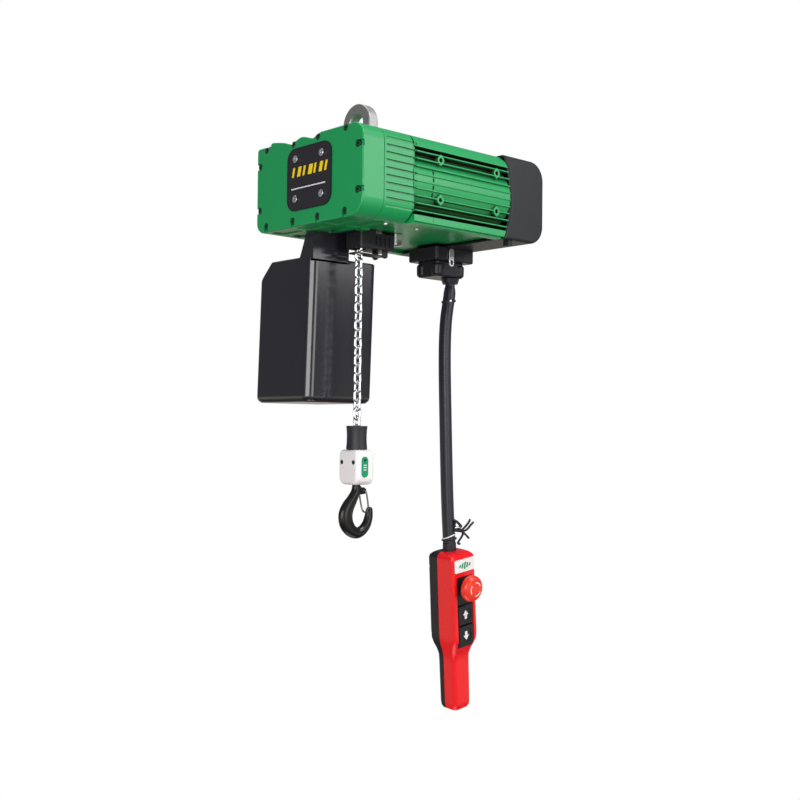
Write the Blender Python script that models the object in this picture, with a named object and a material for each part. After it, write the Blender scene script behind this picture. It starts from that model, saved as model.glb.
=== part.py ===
"""Electric chain hoist with chain bag, hook block and hand-held pendant control.

Frame: metres, +Z up. The origin is the centre of the hole in the suspension eye, which is also
the load line. +X runs along the body towards the rear cover, -Y is the near long side.
Sizes below are millimetres; every mesh is scaled to metres as it is made.
"""
import math

import bmesh
import bpy
from mathutils import Matrix, Vector

MM = 0.001
GAP = 0.3                      # clearance between pieces that touch

# Body castings
LENGTH, WIDTH, HEIGHT = 430.0, 280.0, 147.0
EYE_FROM_FRONT = 113.5
EYE_TO_TOP = 37.4
FRONT, REAR = -EYE_FROM_FRONT, LENGTH - EYE_FROM_FRONT
TOP, BASE = -EYE_TO_TOP, -EYE_TO_TOP - HEIGHT
MIDDLE = (TOP + BASE) / 2
SIDE = WIDTH / 2
COVER_REAR = FRONT + 45.0
RIBBED_REAR = FRONT + 108.0
NECK_REAR = FRONT + 110.6
HOUSING_REAR = FRONT + 153.6
COVER_RIM, COVER_SIDE_RIM, COVER_WALL = 17.0, 21.0, 7.0
NEAR_BASE_R, FAR_BASE_R, FAR_TOP_R, NEAR_TOP_R = 30.0, 19.0, 6.0, 25.0
# Top edge of the front cover over its two cast lobes: distance from the near side, height step
LOBES = ((243, 0), (239, 4.5), (225, 3), (205, -1), (190, -6), (184, -7.5), (178, -5), (171, -2.5),
         (160, 0.5), (150, -0.5), (138, -4), (128, -6.5), (122, -5), (115, -1), (108, 0))
GROOVE_PITCH, GROOVE_WIDTH, GROOVE_DEPTH = 12.1, 3.5, 3.0
GROOVES, FIRST_GROOVE, GROOVE_FRONT = 10, BASE + 19.5, FRONT + 49
EYE_R, EYE_HOLE_R = 35.0, 16.5

# Fins of the motor casting
FINS = 9
FIN_PITCH, FIN_HALF = 12.1, 1.1
FLOOR_RADIUS, FLOOR_CENTRE = 73.5, 65.0
RAIL_LOW, RAIL_HIGH, RAIL_WIDTH, UNDERSIDE_RISE = 3.0, 14.0, 22.0, 6.0
CAVITY_RADIUS = 62.0
BOSS_X = (FRONT + 170, FRONT + 306)
BOSS_Z = (BASE + 44.8, BASE + 110.8)
BOSS_R, BOSS_HOLE_R, BOSS_DEPTH = 7.5, 3.5, 22.0
REAR_ARC_R, REAR_ARC_X = 159.0, FRONT + 183
REAR_EDGE_R, REAR_WALL = 33.0, 4.0

# Drive line: motor, layshaft and load wheel are parallel to X
WHEEL_PITCH_R = 24.4           # five pockets for a 15 mm pitch chain
MOTOR = (-65.0, MIDDLE - 4.1)
WHEEL = (WHEEL_PITCH_R, MIDDLE - 4.1)
FIRST_MODULE, SECOND_MODULE = 1.25, 1.75
PINION_TEETH, LAYSHAFT_TEETH, OUTPUT_TEETH = 12, 60, 48
FIRST_CENTRES = FIRST_MODULE * (PINION_TEETH + LAYSHAFT_TEETH) / 2
SECOND_CENTRES = SECOND_MODULE * (PINION_TEETH + OUTPUT_TEETH) / 2
PRESSURE_ANGLE = math.radians(20)
TOOTH_FULLNESS = 0.82          # tooth width kept, the rest is backlash
FIRST_STAGE = (-84.0, -74.0)
SECOND_STAGE = (-102.0, -88.0)
BEARING_R, SHAFT_R = 19.0, 9.7

# Chain, buffer, block and hook, all on the load line
CHAIN_PITCH, WIRE_R, LINK_WIDTH = 15.0, 2.5, 17.0
LINK_OVERLAP = 0.5             # links bite into each other so that the chain is one body
LINKS = 26
PIN_Z, PIN_R = -571.5, 2.5
BUFFER = (-553.1, -512.4)
BLOCK_LOW, BLOCK_HIGH = -612.4, -553.4
BLOCK_X, BLOCK_Y = 20.0, 24.5
BLOCK_SCREW_Y, BLOCK_SCREW_Z = 15.0, -574.4
LATCH_PIVOT = (14.0, -623.4)

# Chain bag, hanging under the far side
BAG_X, BAG_Y, BAG_Z = (-72.0, 75.5), (35.1, 188.0), (-473.8, -226.8)
NECK_NEAR, NECK_FAR, NECK_SIDE = 32.6, 82.6, 25.5
# Where the neck's slanted rear wall meets the others, at its foot and at its top: y, then x
NECK_BENDS = ((70.6, -64.3), (52.6, -48.3))
# The bag hangs a little askew: shift in X and Y for each millimetre below its hanger
BAG_LEAN, BAG_HANGER_Z = (-0.0186, 0.0171), BASE - 12
BAG_WALL, BAG_CORNER_R, BAG_CHAMFER = 3.0, 11.0, 41.0
NECK_WALL = 2.4
BAG_BOLT = (36.0, 78.0)

# Plug connection and cable
PLUG_X, PLUG_Y = (184.5, 283.5), (0.0, 76.0)
HOOD_X, HOOD_Y = (194.5, 271.5), (8.0, 69.0)
PLUG_LEVELS = (BASE - GAP, -208.0, -236.0, -246.4)
CABLE_EXIT = (248.5, 28.0, PLUG_LEVELS[3])
CABLE_R = 11.0
# Route of the cable down to the pendant
CABLE_ROUTE = ((248.5, 28.0, -247.0), (248.2, 28.0, -253.0), (247.0, 28.0, -268.0),
               (243.0, 28.1, -290.0), (239.5, 28.2, -312.0), (237.4, 28.3, -340.0),
               (236.8, 28.4, -375.0), (237.6, 28.4, -420.0), (239.8, 28.4, -480.0),
               (242.4, 28.4, -545.0), (245.2, 28.4, -610.0), (248.2, 28.3, -665.0),
               (251.0, 28.2, -703.0), (253.0, 28.0, -729.0))

# Pendant control, in its own frame: the cable enters at its origin, its front faces -Y
PENDANT_TOP = (253.4, 28.0, -738.4)
# It hangs a little askew: lean about Y, then tilt about a level axis
PENDANT_LEAN = math.radians(-3.5)
PENDANT_TILT, TILT_AXIS = math.radians(6), (0.736, -0.677, 0)
SPLIT_Y = 3.0
# Height, half width, front depth and back depth of its cross sections
PENDANT_SECTIONS = ((-3, 22, 22, 16), (-10, 30, 36, 25), (-158, 30.5, 38, 25), (-176, 29, 36, 24),
                    (-200, 21.5, 25, 16), (-298, 21, 24.5, 15.5), (-304, 18.5, 22, 13))
PENDANT_WALL = 3.0
ESTOP_Z, ESTOP_R = -66.0, 24.0
BUTTON_Z = (-119.0, -158.0)
BUTTON_HALF = (18.5, 18.0)
BUTTON_Y, BUTTON_TRAVEL = (-38.0, -22.0), 3.0
CHANNEL = (20.5, -181.0, -46.0, -32.0)   # half width, low, high, floor of the recessed front

PAINTS = {
    "green_paint": ((0.02, 0.25, 0.08), 0.35, 0.0),
    "black_plastic": ((0.02, 0.02, 0.023), 0.35, 0.0),
    "black_gloss": ((0.012, 0.012, 0.016), 0.15, 0.0),
    "steel": ((0.55, 0.55, 0.55), 0.35, 1.0),
    "zinc": ((0.75, 0.75, 0.77), 0.3, 1.0),
    "dark_steel": ((0.03, 0.03, 0.032), 0.4, 0.6),
    "rubber": ((0.02, 0.02, 0.024), 0.7, 0.0),
    "white_plastic": ((0.85, 0.84, 0.83), 0.4, 0.0),
    "red_plastic": ((0.8, 0.01, 0.012), 0.35, 0.0),
    "copper": ((0.6, 0.25, 0.12), 0.4, 1.0),
    "board": ((0.02, 0.16, 0.06), 0.5, 0.0),
}
ON_PLANE = {
    "X": lambda u, v, w: (w, u, v),
    "Y": lambda u, v, w: (u, w, v),
    "Z": lambda u, v, w: (u, v, w),
}


# ---------------------------------------------------------------- tools
def clear_scene():
    for obj in list(bpy.data.objects):
        bpy.data.objects.remove(obj, do_unlink=True)


def paint(name):
    """The named material, made on first use."""
    if name in bpy.data.materials:
        return bpy.data.materials[name]
    colour, roughness, metallic = PAINTS[name]
    made = bpy.data.materials.new(name)
    made.use_nodes = True
    shader = made.node_tree.nodes["Principled BSDF"]
    shader.inputs["Base Color"].default_value = (*colour, 1)
    shader.inputs["Roughness"].default_value = roughness
    shader.inputs["Metallic"].default_value = metallic
    return made


def make(name, bm):
    """Turns a bmesh in millimetres into a named object in metres, faces pointing out."""
    bmesh.ops.recalc_face_normals(bm, faces=bm.faces)
    bmesh.ops.scale(bm, vec=(MM, MM, MM), verts=bm.verts)
    mesh = bpy.data.meshes.new(name)
    bm.to_mesh(mesh)
    bm.free()
    obj = bpy.data.objects.new(name, mesh)
    bpy.context.scene.collection.objects.link(obj)
    return obj


def arc(centre, radius, start, end, steps):
    """Points along an arc, angles in degrees."""
    angles = [math.radians(start + (end - start) * i / steps) for i in range(steps + 1)]
    return [(centre[0] + radius * math.cos(a), centre[1] + radius * math.sin(a)) for a in angles]


def circle(centre, radius, sides):
    return arc(centre, radius, 0, 360, sides)[:-1]


def rounded(low, high, radii, steps=4):
    """Rectangle outline, corner radii at low-low, high-low, high-high and low-high."""
    corners = ((low[0], low[1], 1, 1, 180), (high[0], low[1], -1, 1, 270),
               (high[0], high[1], -1, -1, 0), (low[0], high[1], 1, -1, 90))
    points = []
    for (u, v, side, rise, start), radius in zip(corners, radii):
        centre = (u + side * radius, v + rise * radius)
        points += arc(centre, radius, start, start + 90, steps)
    return points


def extruded(name, outline, axis, low, high):
    """Closed prism: an outline in the plane across the axis, from low to high along it."""
    bm = bmesh.new()
    verts = [bm.verts.new(ON_PLANE[axis](u, v, low)) for u, v in outline]
    face = bm.faces.new(verts)
    bm.normal_update()
    moved = bmesh.ops.extrude_face_region(bm, geom=[face], use_keep_orig=True)["geom"]
    shift = Vector(ON_PLANE[axis](0, 0, high - low))
    bmesh.ops.translate(bm, vec=shift, verts=[v for v in moved if isinstance(v, bmesh.types.BMVert)])
    return make(name, bm)


def block(name, low, high):
    """Box between two corners."""
    outline = [(low[0], low[1]), (high[0], low[1]), (high[0], high[1]), (low[0], high[1])]
    return extruded(name, outline, "Z", low[2], high[2])


def lofted(name, sections):
    """Closed body through cross sections, each a list of the same number of 3-D points."""
    bm = bmesh.new()
    rings = [[bm.verts.new(point) for point in section] for section in sections]
    count = len(rings[0])
    for one, two in zip(rings, rings[1:]):
        for i in range(count):
            j = (i + 1) % count
            bm.faces.new((one[i], one[j], two[j], two[i]))
    bm.faces.new(rings[0])
    bm.faces.new(rings[-1])
    return make(name, bm)


def turned(name, profile, axis, centre, sides=20, hollow=False):
    """Revolves (along, radius) points round an axis; a hollow one closes on itself."""
    bm = bmesh.new()
    rings = []
    for along, radius in profile:
        if radius == 0:
            rings.append([bm.verts.new(ON_PLANE[axis](centre[0], centre[1], along))])
            continue
        ring = circle(centre, radius, sides)
        rings.append([bm.verts.new(ON_PLANE[axis](u, v, along)) for u, v in ring])
    pairs = list(zip(rings, rings[1:]))
    if hollow:
        pairs.append((rings[-1], rings[0]))
    for one, two in pairs:
        if len(one) == len(two) == 1:
            continue
        for i in range(sides):
            j = (i + 1) % sides
            corners = [one[i % len(one)], one[j % len(one)], two[j % len(two)], two[i % len(two)]]
            unique = list(dict.fromkeys(corners))
            bm.faces.new(unique)
    return make(name, bm)


def cylinder(name, axis, centre, low, high, radius, sides=16):
    return turned(name, [(low, 0), (low, radius), (high, radius), (high, 0)], axis, centre, sides)


def ring(name, axis, centre, low, high, inner, outer, sides=24):
    profile = [(low, inner), (low, outer), (high, outer), (high, inner)]
    return turned(name, profile, axis, centre, sides, hollow=True)


def swept(name, path, sides=10):
    """Sweeps an ellipse in the XZ plane: path points are x, z, half width, half thickness."""
    bm = bmesh.new()
    rings = []
    for i, (x, z, half, thick) in enumerate(path):
        before, after = path[max(i - 1, 0)], path[min(i + 1, len(path) - 1)]
        along = Vector((after[0] - before[0], 0, after[1] - before[1])).normalized()
        across = Vector((along.z, 0, -along.x))
        turns = [2 * math.pi * k / sides for k in range(sides)]
        rings.append([bm.verts.new(Vector((x, 0, z)) + across * half * math.cos(t)
                                   + Vector((0, thick * math.sin(t), 0))) for t in turns])
    for one, two in zip(rings, rings[1:]):
        for i in range(sides):
            j = (i + 1) % sides
            bm.faces.new((one[i], one[j], two[j], two[i]))
    bm.faces.new(rings[0])
    bm.faces.new(rings[-1])
    return make(name, bm)


def combine(target, operation, tools):
    """Applies Booleans to the target and removes the tools."""
    for tool in tools:
        modifier = target.modifiers.new("boolean", "BOOLEAN")
        modifier.operation = operation
        modifier.solver = "EXACT"
        modifier.object = tool
    graph = bpy.context.evaluated_depsgraph_get()
    mesh = bpy.data.meshes.new_from_object(target.evaluated_get(graph))
    target.modifiers.clear()
    old = target.data
    target.data = mesh
    bpy.data.meshes.remove(old)
    for tool in tools:
        bpy.data.objects.remove(tool, do_unlink=True)
    return target


def cut(target, *tools):
    return combine(target, "DIFFERENCE", tools)


def join(target, *tools):
    return combine(target, "UNION", tools)


def finish(obj, paint_name, holder=None, keep_place=True):
    """Paints and shades a piece, and hangs a moving one from its pivot."""
    obj.data.materials.clear()
    obj.data.materials.append(paint(paint_name))
    obj.data.shade_smooth()
    obj.data.set_sharp_from_angle(angle=math.radians(35))
    if holder:
        obj.parent = holder
        if keep_place:
            obj.matrix_parent_inverse = Matrix.Translation(holder.location).inverted()
    return obj


def pivot(name, place, turn=None):
    """Empty on a joint's axis, carrying the pieces that move with it."""
    empty = bpy.data.objects.new(name, None)
    empty.location = [value * MM for value in place]
    if turn:
        empty.rotation_euler = turn.to_euler()
    bpy.context.scene.collection.objects.link(empty)
    return empty


def screw(name, axis, centre, head, shank, head_r, shank_r, paint_name):
    """Cap screw with a hexagon socket. head and shank give (outer end, seat) and (seat, tip)."""
    outer, seat = head
    inward = 1 if seat > outer else -1
    profile = [(outer, 0), (outer, head_r), (seat, head_r), (seat, shank_r), (shank, shank_r), (shank, 0)]
    body = turned(name, profile, axis, centre, 10)
    depth = outer + inward * 0.6 * abs(seat - outer)
    socket = extruded("socket", circle(centre, head_r * 0.5, 6), axis, outer - inward * 2, depth)
    return finish(cut(body, socket), paint_name)


# ---------------------------------------------------------------- castings
def body_outline(inset=0.0, side_inset=None, steps=5):
    """Cross section of the castings in the YZ plane, seen along +X."""
    side = inset if side_inset is None else side_inset
    radii = [max(radius - inset, 2.0) for radius in (NEAR_BASE_R, FAR_BASE_R, FAR_TOP_R, NEAR_TOP_R)]
    return rounded((-SIDE + side, BASE + inset), (SIDE - side, TOP - inset), radii, steps)


def cover_outline():
    """The same outline with the lobes of the front cover along its top edge."""
    points = body_outline()
    lobes = [(distance - SIDE, TOP + step) for distance, step in LOBES]
    last_far = max(i for i, (u, v) in enumerate(points) if u > 0)
    return points[:last_far + 1] + lobes + points[last_far + 1:]


def cover_screw_places():
    """Screws along the lower edge of the front cover."""
    return [(distance - SIDE, BASE + 10) for distance in (43.5, 112.5, 178, 252)]


def nameplate_screw_places():
    return [(y, z) for z in (-139.3, -73.0) for y in (-41.3, 27.5)]


def gearbox_cover():
    cover = extruded("gearbox_cover", cover_outline(), "X", FRONT, COVER_REAR)
    cavity = extruded("cavity", body_outline(COVER_RIM, COVER_SIDE_RIM), "X",
                      FRONT + COVER_WALL, COVER_REAR + 5)
    holes = []
    for place in cover_screw_places():
        steps = [(FRONT - 1, 0), (FRONT - 1, 5.8), (FRONT + 6, 5.8), (FRONT + 6, 3.3),
                 (COVER_REAR + 1, 3.3), (COVER_REAR + 1, 0)]
        holes.append(turned("hole", steps, "X", place, 12))
    for place in nameplate_screw_places():
        holes.append(cylinder("hole", "X", place, FRONT - 1, FRONT + COVER_WALL + 1, 2.8, 8))
    return finish(cut(cover, cavity, *holes), "green_paint")


def cover_screws():
    for number, place in enumerate(cover_screw_places(), 1):
        screw(f"cover_screw_{number}", "X", place, (FRONT + 0.8, FRONT + 6 - GAP), COVER_REAR + 14,
              5.5, 3.0, "dark_steel")


def fin_heights():
    return [BASE + 21 + FIN_PITCH * i for i in range(FINS)]


def floor_y(height):
    """How far out the casting's wall lies between the fins."""
    rise = min(abs(height - MIDDLE), FLOOR_RADIUS - 12)
    return FLOOR_CENTRE + math.sqrt(FLOOR_RADIUS ** 2 - rise ** 2)


def finned_side():
    """One side of the motor casting, from its underside to its top fillet, as (y, z)."""
    points = [(SIDE - RAIL_WIDTH, BASE + UNDERSIDE_RISE), (SIDE - RAIL_WIDTH, BASE),
              (SIDE - 6, BASE), (SIDE - 6, BASE + RAIL_LOW), (SIDE, BASE + RAIL_LOW),
              (SIDE, BASE + RAIL_HIGH)]
    low = BASE + RAIL_HIGH
    for height in fin_heights():
        points += [(floor_y(low), low), (floor_y((low + height) / 2), (low + height) / 2),
                   (floor_y(height - FIN_HALF), height - FIN_HALF),
                   (SIDE, height - FIN_HALF), (SIDE, height + FIN_HALF)]
        low = height + FIN_HALF
    band = TOP - NEAR_TOP_R + 3
    points += [(floor_y(low), low), (floor_y(band), band), (SIDE, band)]
    centre = (SIDE - NEAR_TOP_R, TOP - NEAR_TOP_R)
    return points + arc(centre, NEAR_TOP_R, 7, 90, 5)


def finned_outline():
    side = finned_side()
    return side + [(-y, z) for y, z in reversed(side)]


def gearbox_housing():
    housing = extruded("gearbox_housing", body_outline(), "X", COVER_REAR + GAP, RIBBED_REAR)
    # The neck's outline is slightly smaller than the ribbed part's and overlaps both neighbours
    neck = extruded("neck", body_outline(4.0), "X", RIBBED_REAR - 3, NECK_REAR + 3)
    finned = extruded("finned", finned_outline(), "X", NECK_REAR, HOUSING_REAR)
    join(housing, neck, finned)
    cuts = []
    for index in range(GROOVES):
        height = FIRST_GROOVE + GROOVE_PITCH * index
        for side in (-1, 1):
            inner, outer = side * (SIDE - GROOVE_DEPTH), side * (SIDE + 2)
            cuts.append(block("groove", (GROOVE_FRONT, min(inner, outer), height - GROOVE_WIDTH / 2),
                              (RIBBED_REAR + 1, max(inner, outer), height + GROOVE_WIDTH / 2)))
    cuts += housing_chambers()
    for place in cover_screw_places():
        cuts.append(cylinder("hole", "X", place, COVER_REAR, COVER_REAR + 16, 3.3, 12))
    return finish(cut(housing, *cuts), "green_paint")


def housing_chambers():
    """Everything cut out of the middle casting: wheel chamber, shaft bores and weight pockets."""
    start, end = COVER_REAR, HOUSING_REAR
    layshaft = layshaft_place()
    return [
        block("wheel_chamber", (-26, -16, BASE - 1), (26, 66, -72)),
        cylinder("motor_bore", "X", MOTOR, start - 1, end + 1, 12, 20),
        cylinder("motor_seat", "X", MOTOR, 25.7, end + 1, 20.3, 24),
        cylinder("wheel_seat", "X", WHEEL, start - 1, -47.7, BEARING_R + GAP, 24),
        cylinder("wheel_bore", "X", WHEEL, -48, -25, 12, 20),
        cylinder("rear_seat", "X", WHEEL, 25, 37.6, BEARING_R + GAP, 24),
        cylinder("layshaft_seat", "X", layshaft, start - 1, -56, 6.3, 12),
        cylinder("eye_seat", "Z", (0, 0), -66, TOP + 1, 10.3, 16),
        block("far_pocket", (-50, 80, -168), (end + 1, 122, -56)),
        block("near_pocket", (-50, -122, -168), (end + 1, -92, -60)),
        cylinder("bag_bolt_hole", "Z", BAG_BOLT, BASE - 1, BASE + 11, 3.3, 12),
    ]


def motor_housing():
    start = HOUSING_REAR + GAP
    housing = extruded("motor_housing", finned_outline(), "X", start, REAR_ARC_X + REAR_ARC_R)
    for side in (-1, 1):
        for x in BOSS_X:
            for z in BOSS_Z:
                low, high = sorted((side * (SIDE - BOSS_DEPTH), side * (SIDE + 0.2)))
                join(housing, cylinder("boss", "Y", (x, z), low, high, BOSS_R, 14))
    arch = arc((REAR_ARC_X, MIDDLE), REAR_ARC_R, -32, 32, 14)
    beyond = [(REAR, arch[-1][1]), (REAR, arch[0][1])]
    cuts = [extruded("rear_cut", arch + beyond, "Y", -SIDE - 5, SIDE + 5)]
    stadium = arc((FLOOR_CENTRE, MIDDLE), CAVITY_RADIUS, -90, 90, 12)
    stadium += arc((-FLOOR_CENTRE, MIDDLE), CAVITY_RADIUS, 90, 270, 12)
    cuts.append(extruded("cavity", stadium, "X", start - 1, REAR))
    for side in (-1, 1):
        for x in BOSS_X:
            for z in BOSS_Z:
                low, high = sorted((side * (SIDE - 11), side * (SIDE + 2)))
                cuts.append(cylinder("boss_hole", "Y", (x, z), low, high, BOSS_HOLE_R, 10))
    return finish(cut(housing, *cuts), "green_paint")


def rear_outline(inset, front_radius):
    """Side view of the rear cover: hollow front edge, two rounded rear corners."""
    low, high, rear = BASE + inset, TOP - inset, REAR - inset
    radius = REAR_EDGE_R - inset
    reach = math.degrees(math.asin((high - MIDDLE) / front_radius))
    front = arc((REAR_ARC_X, MIDDLE), front_radius, reach, -reach, 14)
    lower = arc((rear - radius, low + radius), radius, 270, 360, 6)
    upper = arc((rear - radius, high - radius), radius, 0, 90, 6)
    return front + lower + upper


def rear_cover():
    cover = extruded("rear_cover", rear_outline(0, REAR_ARC_R + 0.5), "Y", -SIDE, SIDE)
    bevel = cover.modifiers.new("edge", "BEVEL")
    bevel.width = 5 * MM
    bevel.segments = 2
    bevel.limit_method = "ANGLE"
    bevel.angle_limit = math.radians(60)
    inside = extruded("inside", rear_outline(REAR_WALL, REAR_ARC_R - 30), "Y",
                      -SIDE + REAR_WALL, SIDE - REAR_WALL)
    foot = block("foot", (231, -134, BASE - 9), (241, -119, BASE + 2))
    return finish(join(cut(cover, inside), foot), "black_plastic")


def nameplate():
    outline = rounded((-64.5, -159), (51, -54.5), (20, 20, 20, 20), 5)
    plate = extruded("nameplate", outline, "X", FRONT - GAP - 2.2, FRONT - GAP)
    holes = [cylinder("hole", "X", place, FRONT - 5, FRONT + 5, 2.8, 8) for place in nameplate_screw_places()]
    finish(cut(plate, *holes), "black_plastic")
    for number, place in enumerate(nameplate_screw_places(), 1):
        screw(f"nameplate_screw_{number}", "X", place, (FRONT - 5.3, FRONT - 2.8), FRONT + COVER_WALL - 1,
              6.0, 2.5, "zinc")


def suspension_eye():
    base_top = TOP + 9
    lug = arc((0, 0), EYE_R, 0, 180, 12) + [(-EYE_R, base_top - 2), (EYE_R, base_top - 2)]
    eye = extruded("suspension_eye", lug, "X", -10, 10)
    base = block("base", (-24, -46, TOP + GAP), (24, 46, base_top))
    shank = cylinder("shank", "Z", (0, 0), -65, TOP + 3, 10, 16)
    hole = cylinder("hole", "X", (0, 0), -15, 15, EYE_HOLE_R, 24)
    return finish(cut(join(eye, base, shank), hole), "steel")


# ---------------------------------------------------------------- drive line
def layshaft_place():
    """Where the layshaft lies, from the two centre distances."""
    span = WHEEL[0] - MOTOR[0]
    along = (FIRST_CENTRES ** 2 - SECOND_CENTRES ** 2 + span ** 2) / (2 * span)
    return MOTOR[0] + along, MOTOR[1] + math.sqrt(FIRST_CENTRES ** 2 - along ** 2)


def angle_between(one, two):
    return math.atan2(two[1] - one[1], two[0] - one[0])


def involute(angle):
    return math.tan(angle) - angle


def gear_outline(teeth, module, centre, tooth_angle, fine=False):
    """Involute gear with a tooth centred at tooth_angle; small wheels get an extra flank point."""
    pitch = teeth * module / 2
    base = pitch * math.cos(PRESSURE_ANGLE)
    root, tip = pitch - 1.3 * module, pitch + 0.8 * module

    def half_angle(radius):
        pressure = math.acos(min(base / radius, 1.0))
        narrowing = 0.62 if radius < base else 1.0
        width = math.pi / 2 / teeth * TOOTH_FULLNESS + involute(PRESSURE_ANGLE) - involute(pressure)
        return width * narrowing

    radii = [root, base, (base + tip) / 2, tip] if fine else [root, tip]
    points = []
    for tooth in range(teeth):
        middle = tooth_angle + 2 * math.pi * tooth / teeth
        rising = [(radius, middle - half_angle(radius)) for radius in radii]
        falling = [(radius, middle + half_angle(radius)) for radius in reversed(radii)]
        points += [(centre[0] + r * math.cos(a), centre[1] + r * math.sin(a)) for r, a in rising + falling]
    return points


def drive_line():
    layshaft = layshaft_place()
    to_layshaft = angle_between(MOTOR, layshaft)
    to_wheel = angle_between(layshaft, WHEEL)
    first_gap = to_layshaft + math.pi + math.pi / LAYSHAFT_TEETH
    second_gap = to_wheel + math.pi + math.pi / OUTPUT_TEETH

    motor_pivot = pivot("motor_pivot", (0, *MOTOR))
    profile = [(-80, 0), (-80, 5.4), (20, 5.4), (20, 8), (62, 8), (62, 33.3), (163, 33.3), (163, 8),
               (232, 8), (232, 0)]
    rotor = turned("motor_rotor", profile, "X", MOTOR, 20)
    pinion = extruded("pinion", gear_outline(PINION_TEETH, FIRST_MODULE, MOTOR, to_layshaft, True), "X",
                      *FIRST_STAGE)
    finish(join(rotor, pinion), "steel", motor_pivot)
    finish(ring("brake_disc", "X", MOTOR, 190, 196, 8.3, 42, 24), "steel", motor_pivot)

    lay_pivot = pivot("layshaft_pivot", (0, *layshaft))
    shaft = cylinder("layshaft", "X", layshaft, -105, -57, 6, 12)
    teeth = gear_outline(LAYSHAFT_TEETH, FIRST_MODULE, layshaft, first_gap)
    gear = extruded("gear", teeth, "X", *FIRST_STAGE)
    second = extruded("second", gear_outline(PINION_TEETH, SECOND_MODULE, layshaft, to_wheel, True), "X",
                      *SECOND_STAGE)
    finish(join(shaft, gear, second), "steel", lay_pivot)

    wheel_pivot = pivot("wheel_pivot", (0, *WHEEL))
    output = extruded("output_gear", gear_outline(OUTPUT_TEETH, SECOND_MODULE, WHEEL, second_gap), "X",
                      *SECOND_STAGE)
    finish(cut(output, cylinder("bore", "X", WHEEL, -110, -80, SHAFT_R + GAP, 20)), "steel", wheel_pivot)
    pocketed = [(-105, 0), (-105, SHAFT_R), (-14, SHAFT_R), (-14, 30), (-9, 30), (-4, 19), (4, 19),
                (9, 30), (14, 30), (14, SHAFT_R), (36, SHAFT_R), (36, 0)]
    finish(turned("load_wheel", pocketed, "X", WHEEL, 20), "steel", wheel_pivot)


def fixed_drive_pieces():
    """Bearings, stator, end shield and brake, all held by the castings."""
    finish(ring("wheel_bearing_front", "X", WHEEL, -60, -48, SHAFT_R + GAP, BEARING_R, 20), "steel")
    finish(ring("wheel_bearing_rear", "X", WHEEL, 26.5, 37, SHAFT_R + GAP, BEARING_R, 20), "steel")
    finish(ring("motor_bearing_front", "X", MOTOR, 27, 39, 8 + GAP, 20, 20), "steel")
    finish(ring("motor_bearing_rear", "X", MOTOR, 172, 184, 8 + GAP, 20, 20), "steel")
    finish(ring("motor_end_shield", "X", MOTOR, 171, 185, 20 + GAP, 57, 24), "steel")
    finish(ring("motor_stator", "X", MOTOR, 60, 165, 34, 56, 24), "copper")
    finish(ring("brake_coil", "X", MOTOR, 204, 232, 12, 46, 20), "copper")
    armature = ring("brake_armature", "X", MOTOR, 197, 202, 12, 46, 20)
    finish(armature, "steel", pivot("armature_pivot", (197, *MOTOR)))
    finish(block("control_board", (238, 96, -165), (300, 98, -60)), "board")
    finish(block("contactor", (240, 40, -150), (288, 90, -82)), "black_plastic")


# ---------------------------------------------------------------- underside
def chain_guide():
    guide = block("chain_guide", (-25.7, -15.7, BASE - 0.2), (25.7, 65.7, BASE + 18))
    lower = block("lower", (-13, -21, BASE - 27.6), (64, 21, BASE - GAP))
    core = block("core", (-12, -14, BASE - 5), (25, 14, BASE + 5))
    join(guide, core, lower)
    for side in (-1, 1):
        inner, outer = side * 11, side * 14
        join(guide, block("ear", (42, min(inner, outer), BASE - 40), (54, max(inner, outer), BASE - 26)))
    load_hole = block("load_hole", (-10.5, -10.5, BASE - 45), (10.5, 10.5, BASE + 20))
    slack_hole = block("slack_hole", (-10.5, 38.3, BASE - 5), (10.5, 59.3, BASE + 20))
    return finish(cut(guide, load_hole, slack_hole), "black_plastic")


def limit_switch_lever():
    lever = block("limit_switch_lever", (-15, -10.4, BASE - 37), (52, 10.4, BASE - 34.2))
    opening = block("opening", (-11, -9.2, BASE - 45), (12, 9.2, BASE - 30))
    return finish(cut(lever, opening), "zinc", pivot("lever_pivot", (48, 0, BASE - 35.6)))


def neck_section(z, bend):
    """Cross section of the bag's neck; bend is where its slanted rear wall meets the others."""
    side_y, rear_x = bend
    return [(BAG_X[0], NECK_NEAR, z), (NECK_SIDE - 21, NECK_NEAR, z), (NECK_SIDE, NECK_NEAR + 23, z),
            (NECK_SIDE, NECK_FAR, z),
            (rear_x, NECK_FAR, z), (BAG_X[0], side_y, z)]


def inset_section(section, wall):
    """Moves each corner of a convex section inwards by the wall thickness."""
    count = len(section)
    inner = []
    for i in range(count):
        before, here, after = (Vector(section[k % count][:2]) for k in (i - 1, i, i + 1))
        one, two = (here - before).normalized(), (after - here).normalized()
        normal_one, normal_two = Vector((-one.y, one.x)), Vector((-two.y, two.x))
        shift = (normal_one + normal_two) * wall / (1 + normal_one.dot(normal_two))
        inner.append((here.x + shift.x, here.y + shift.y, section[i][2]))
    return inner


def hung_askew(obj):
    """Shifts what lies below the bag's hanger along with the bag."""
    for vertex in obj.data.vertices:
        drop = max(BAG_HANGER_Z * MM - vertex.co.z, 0)
        vertex.co.x += BAG_LEAN[0] * drop
        vertex.co.y += BAG_LEAN[1] * drop
    return obj


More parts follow.
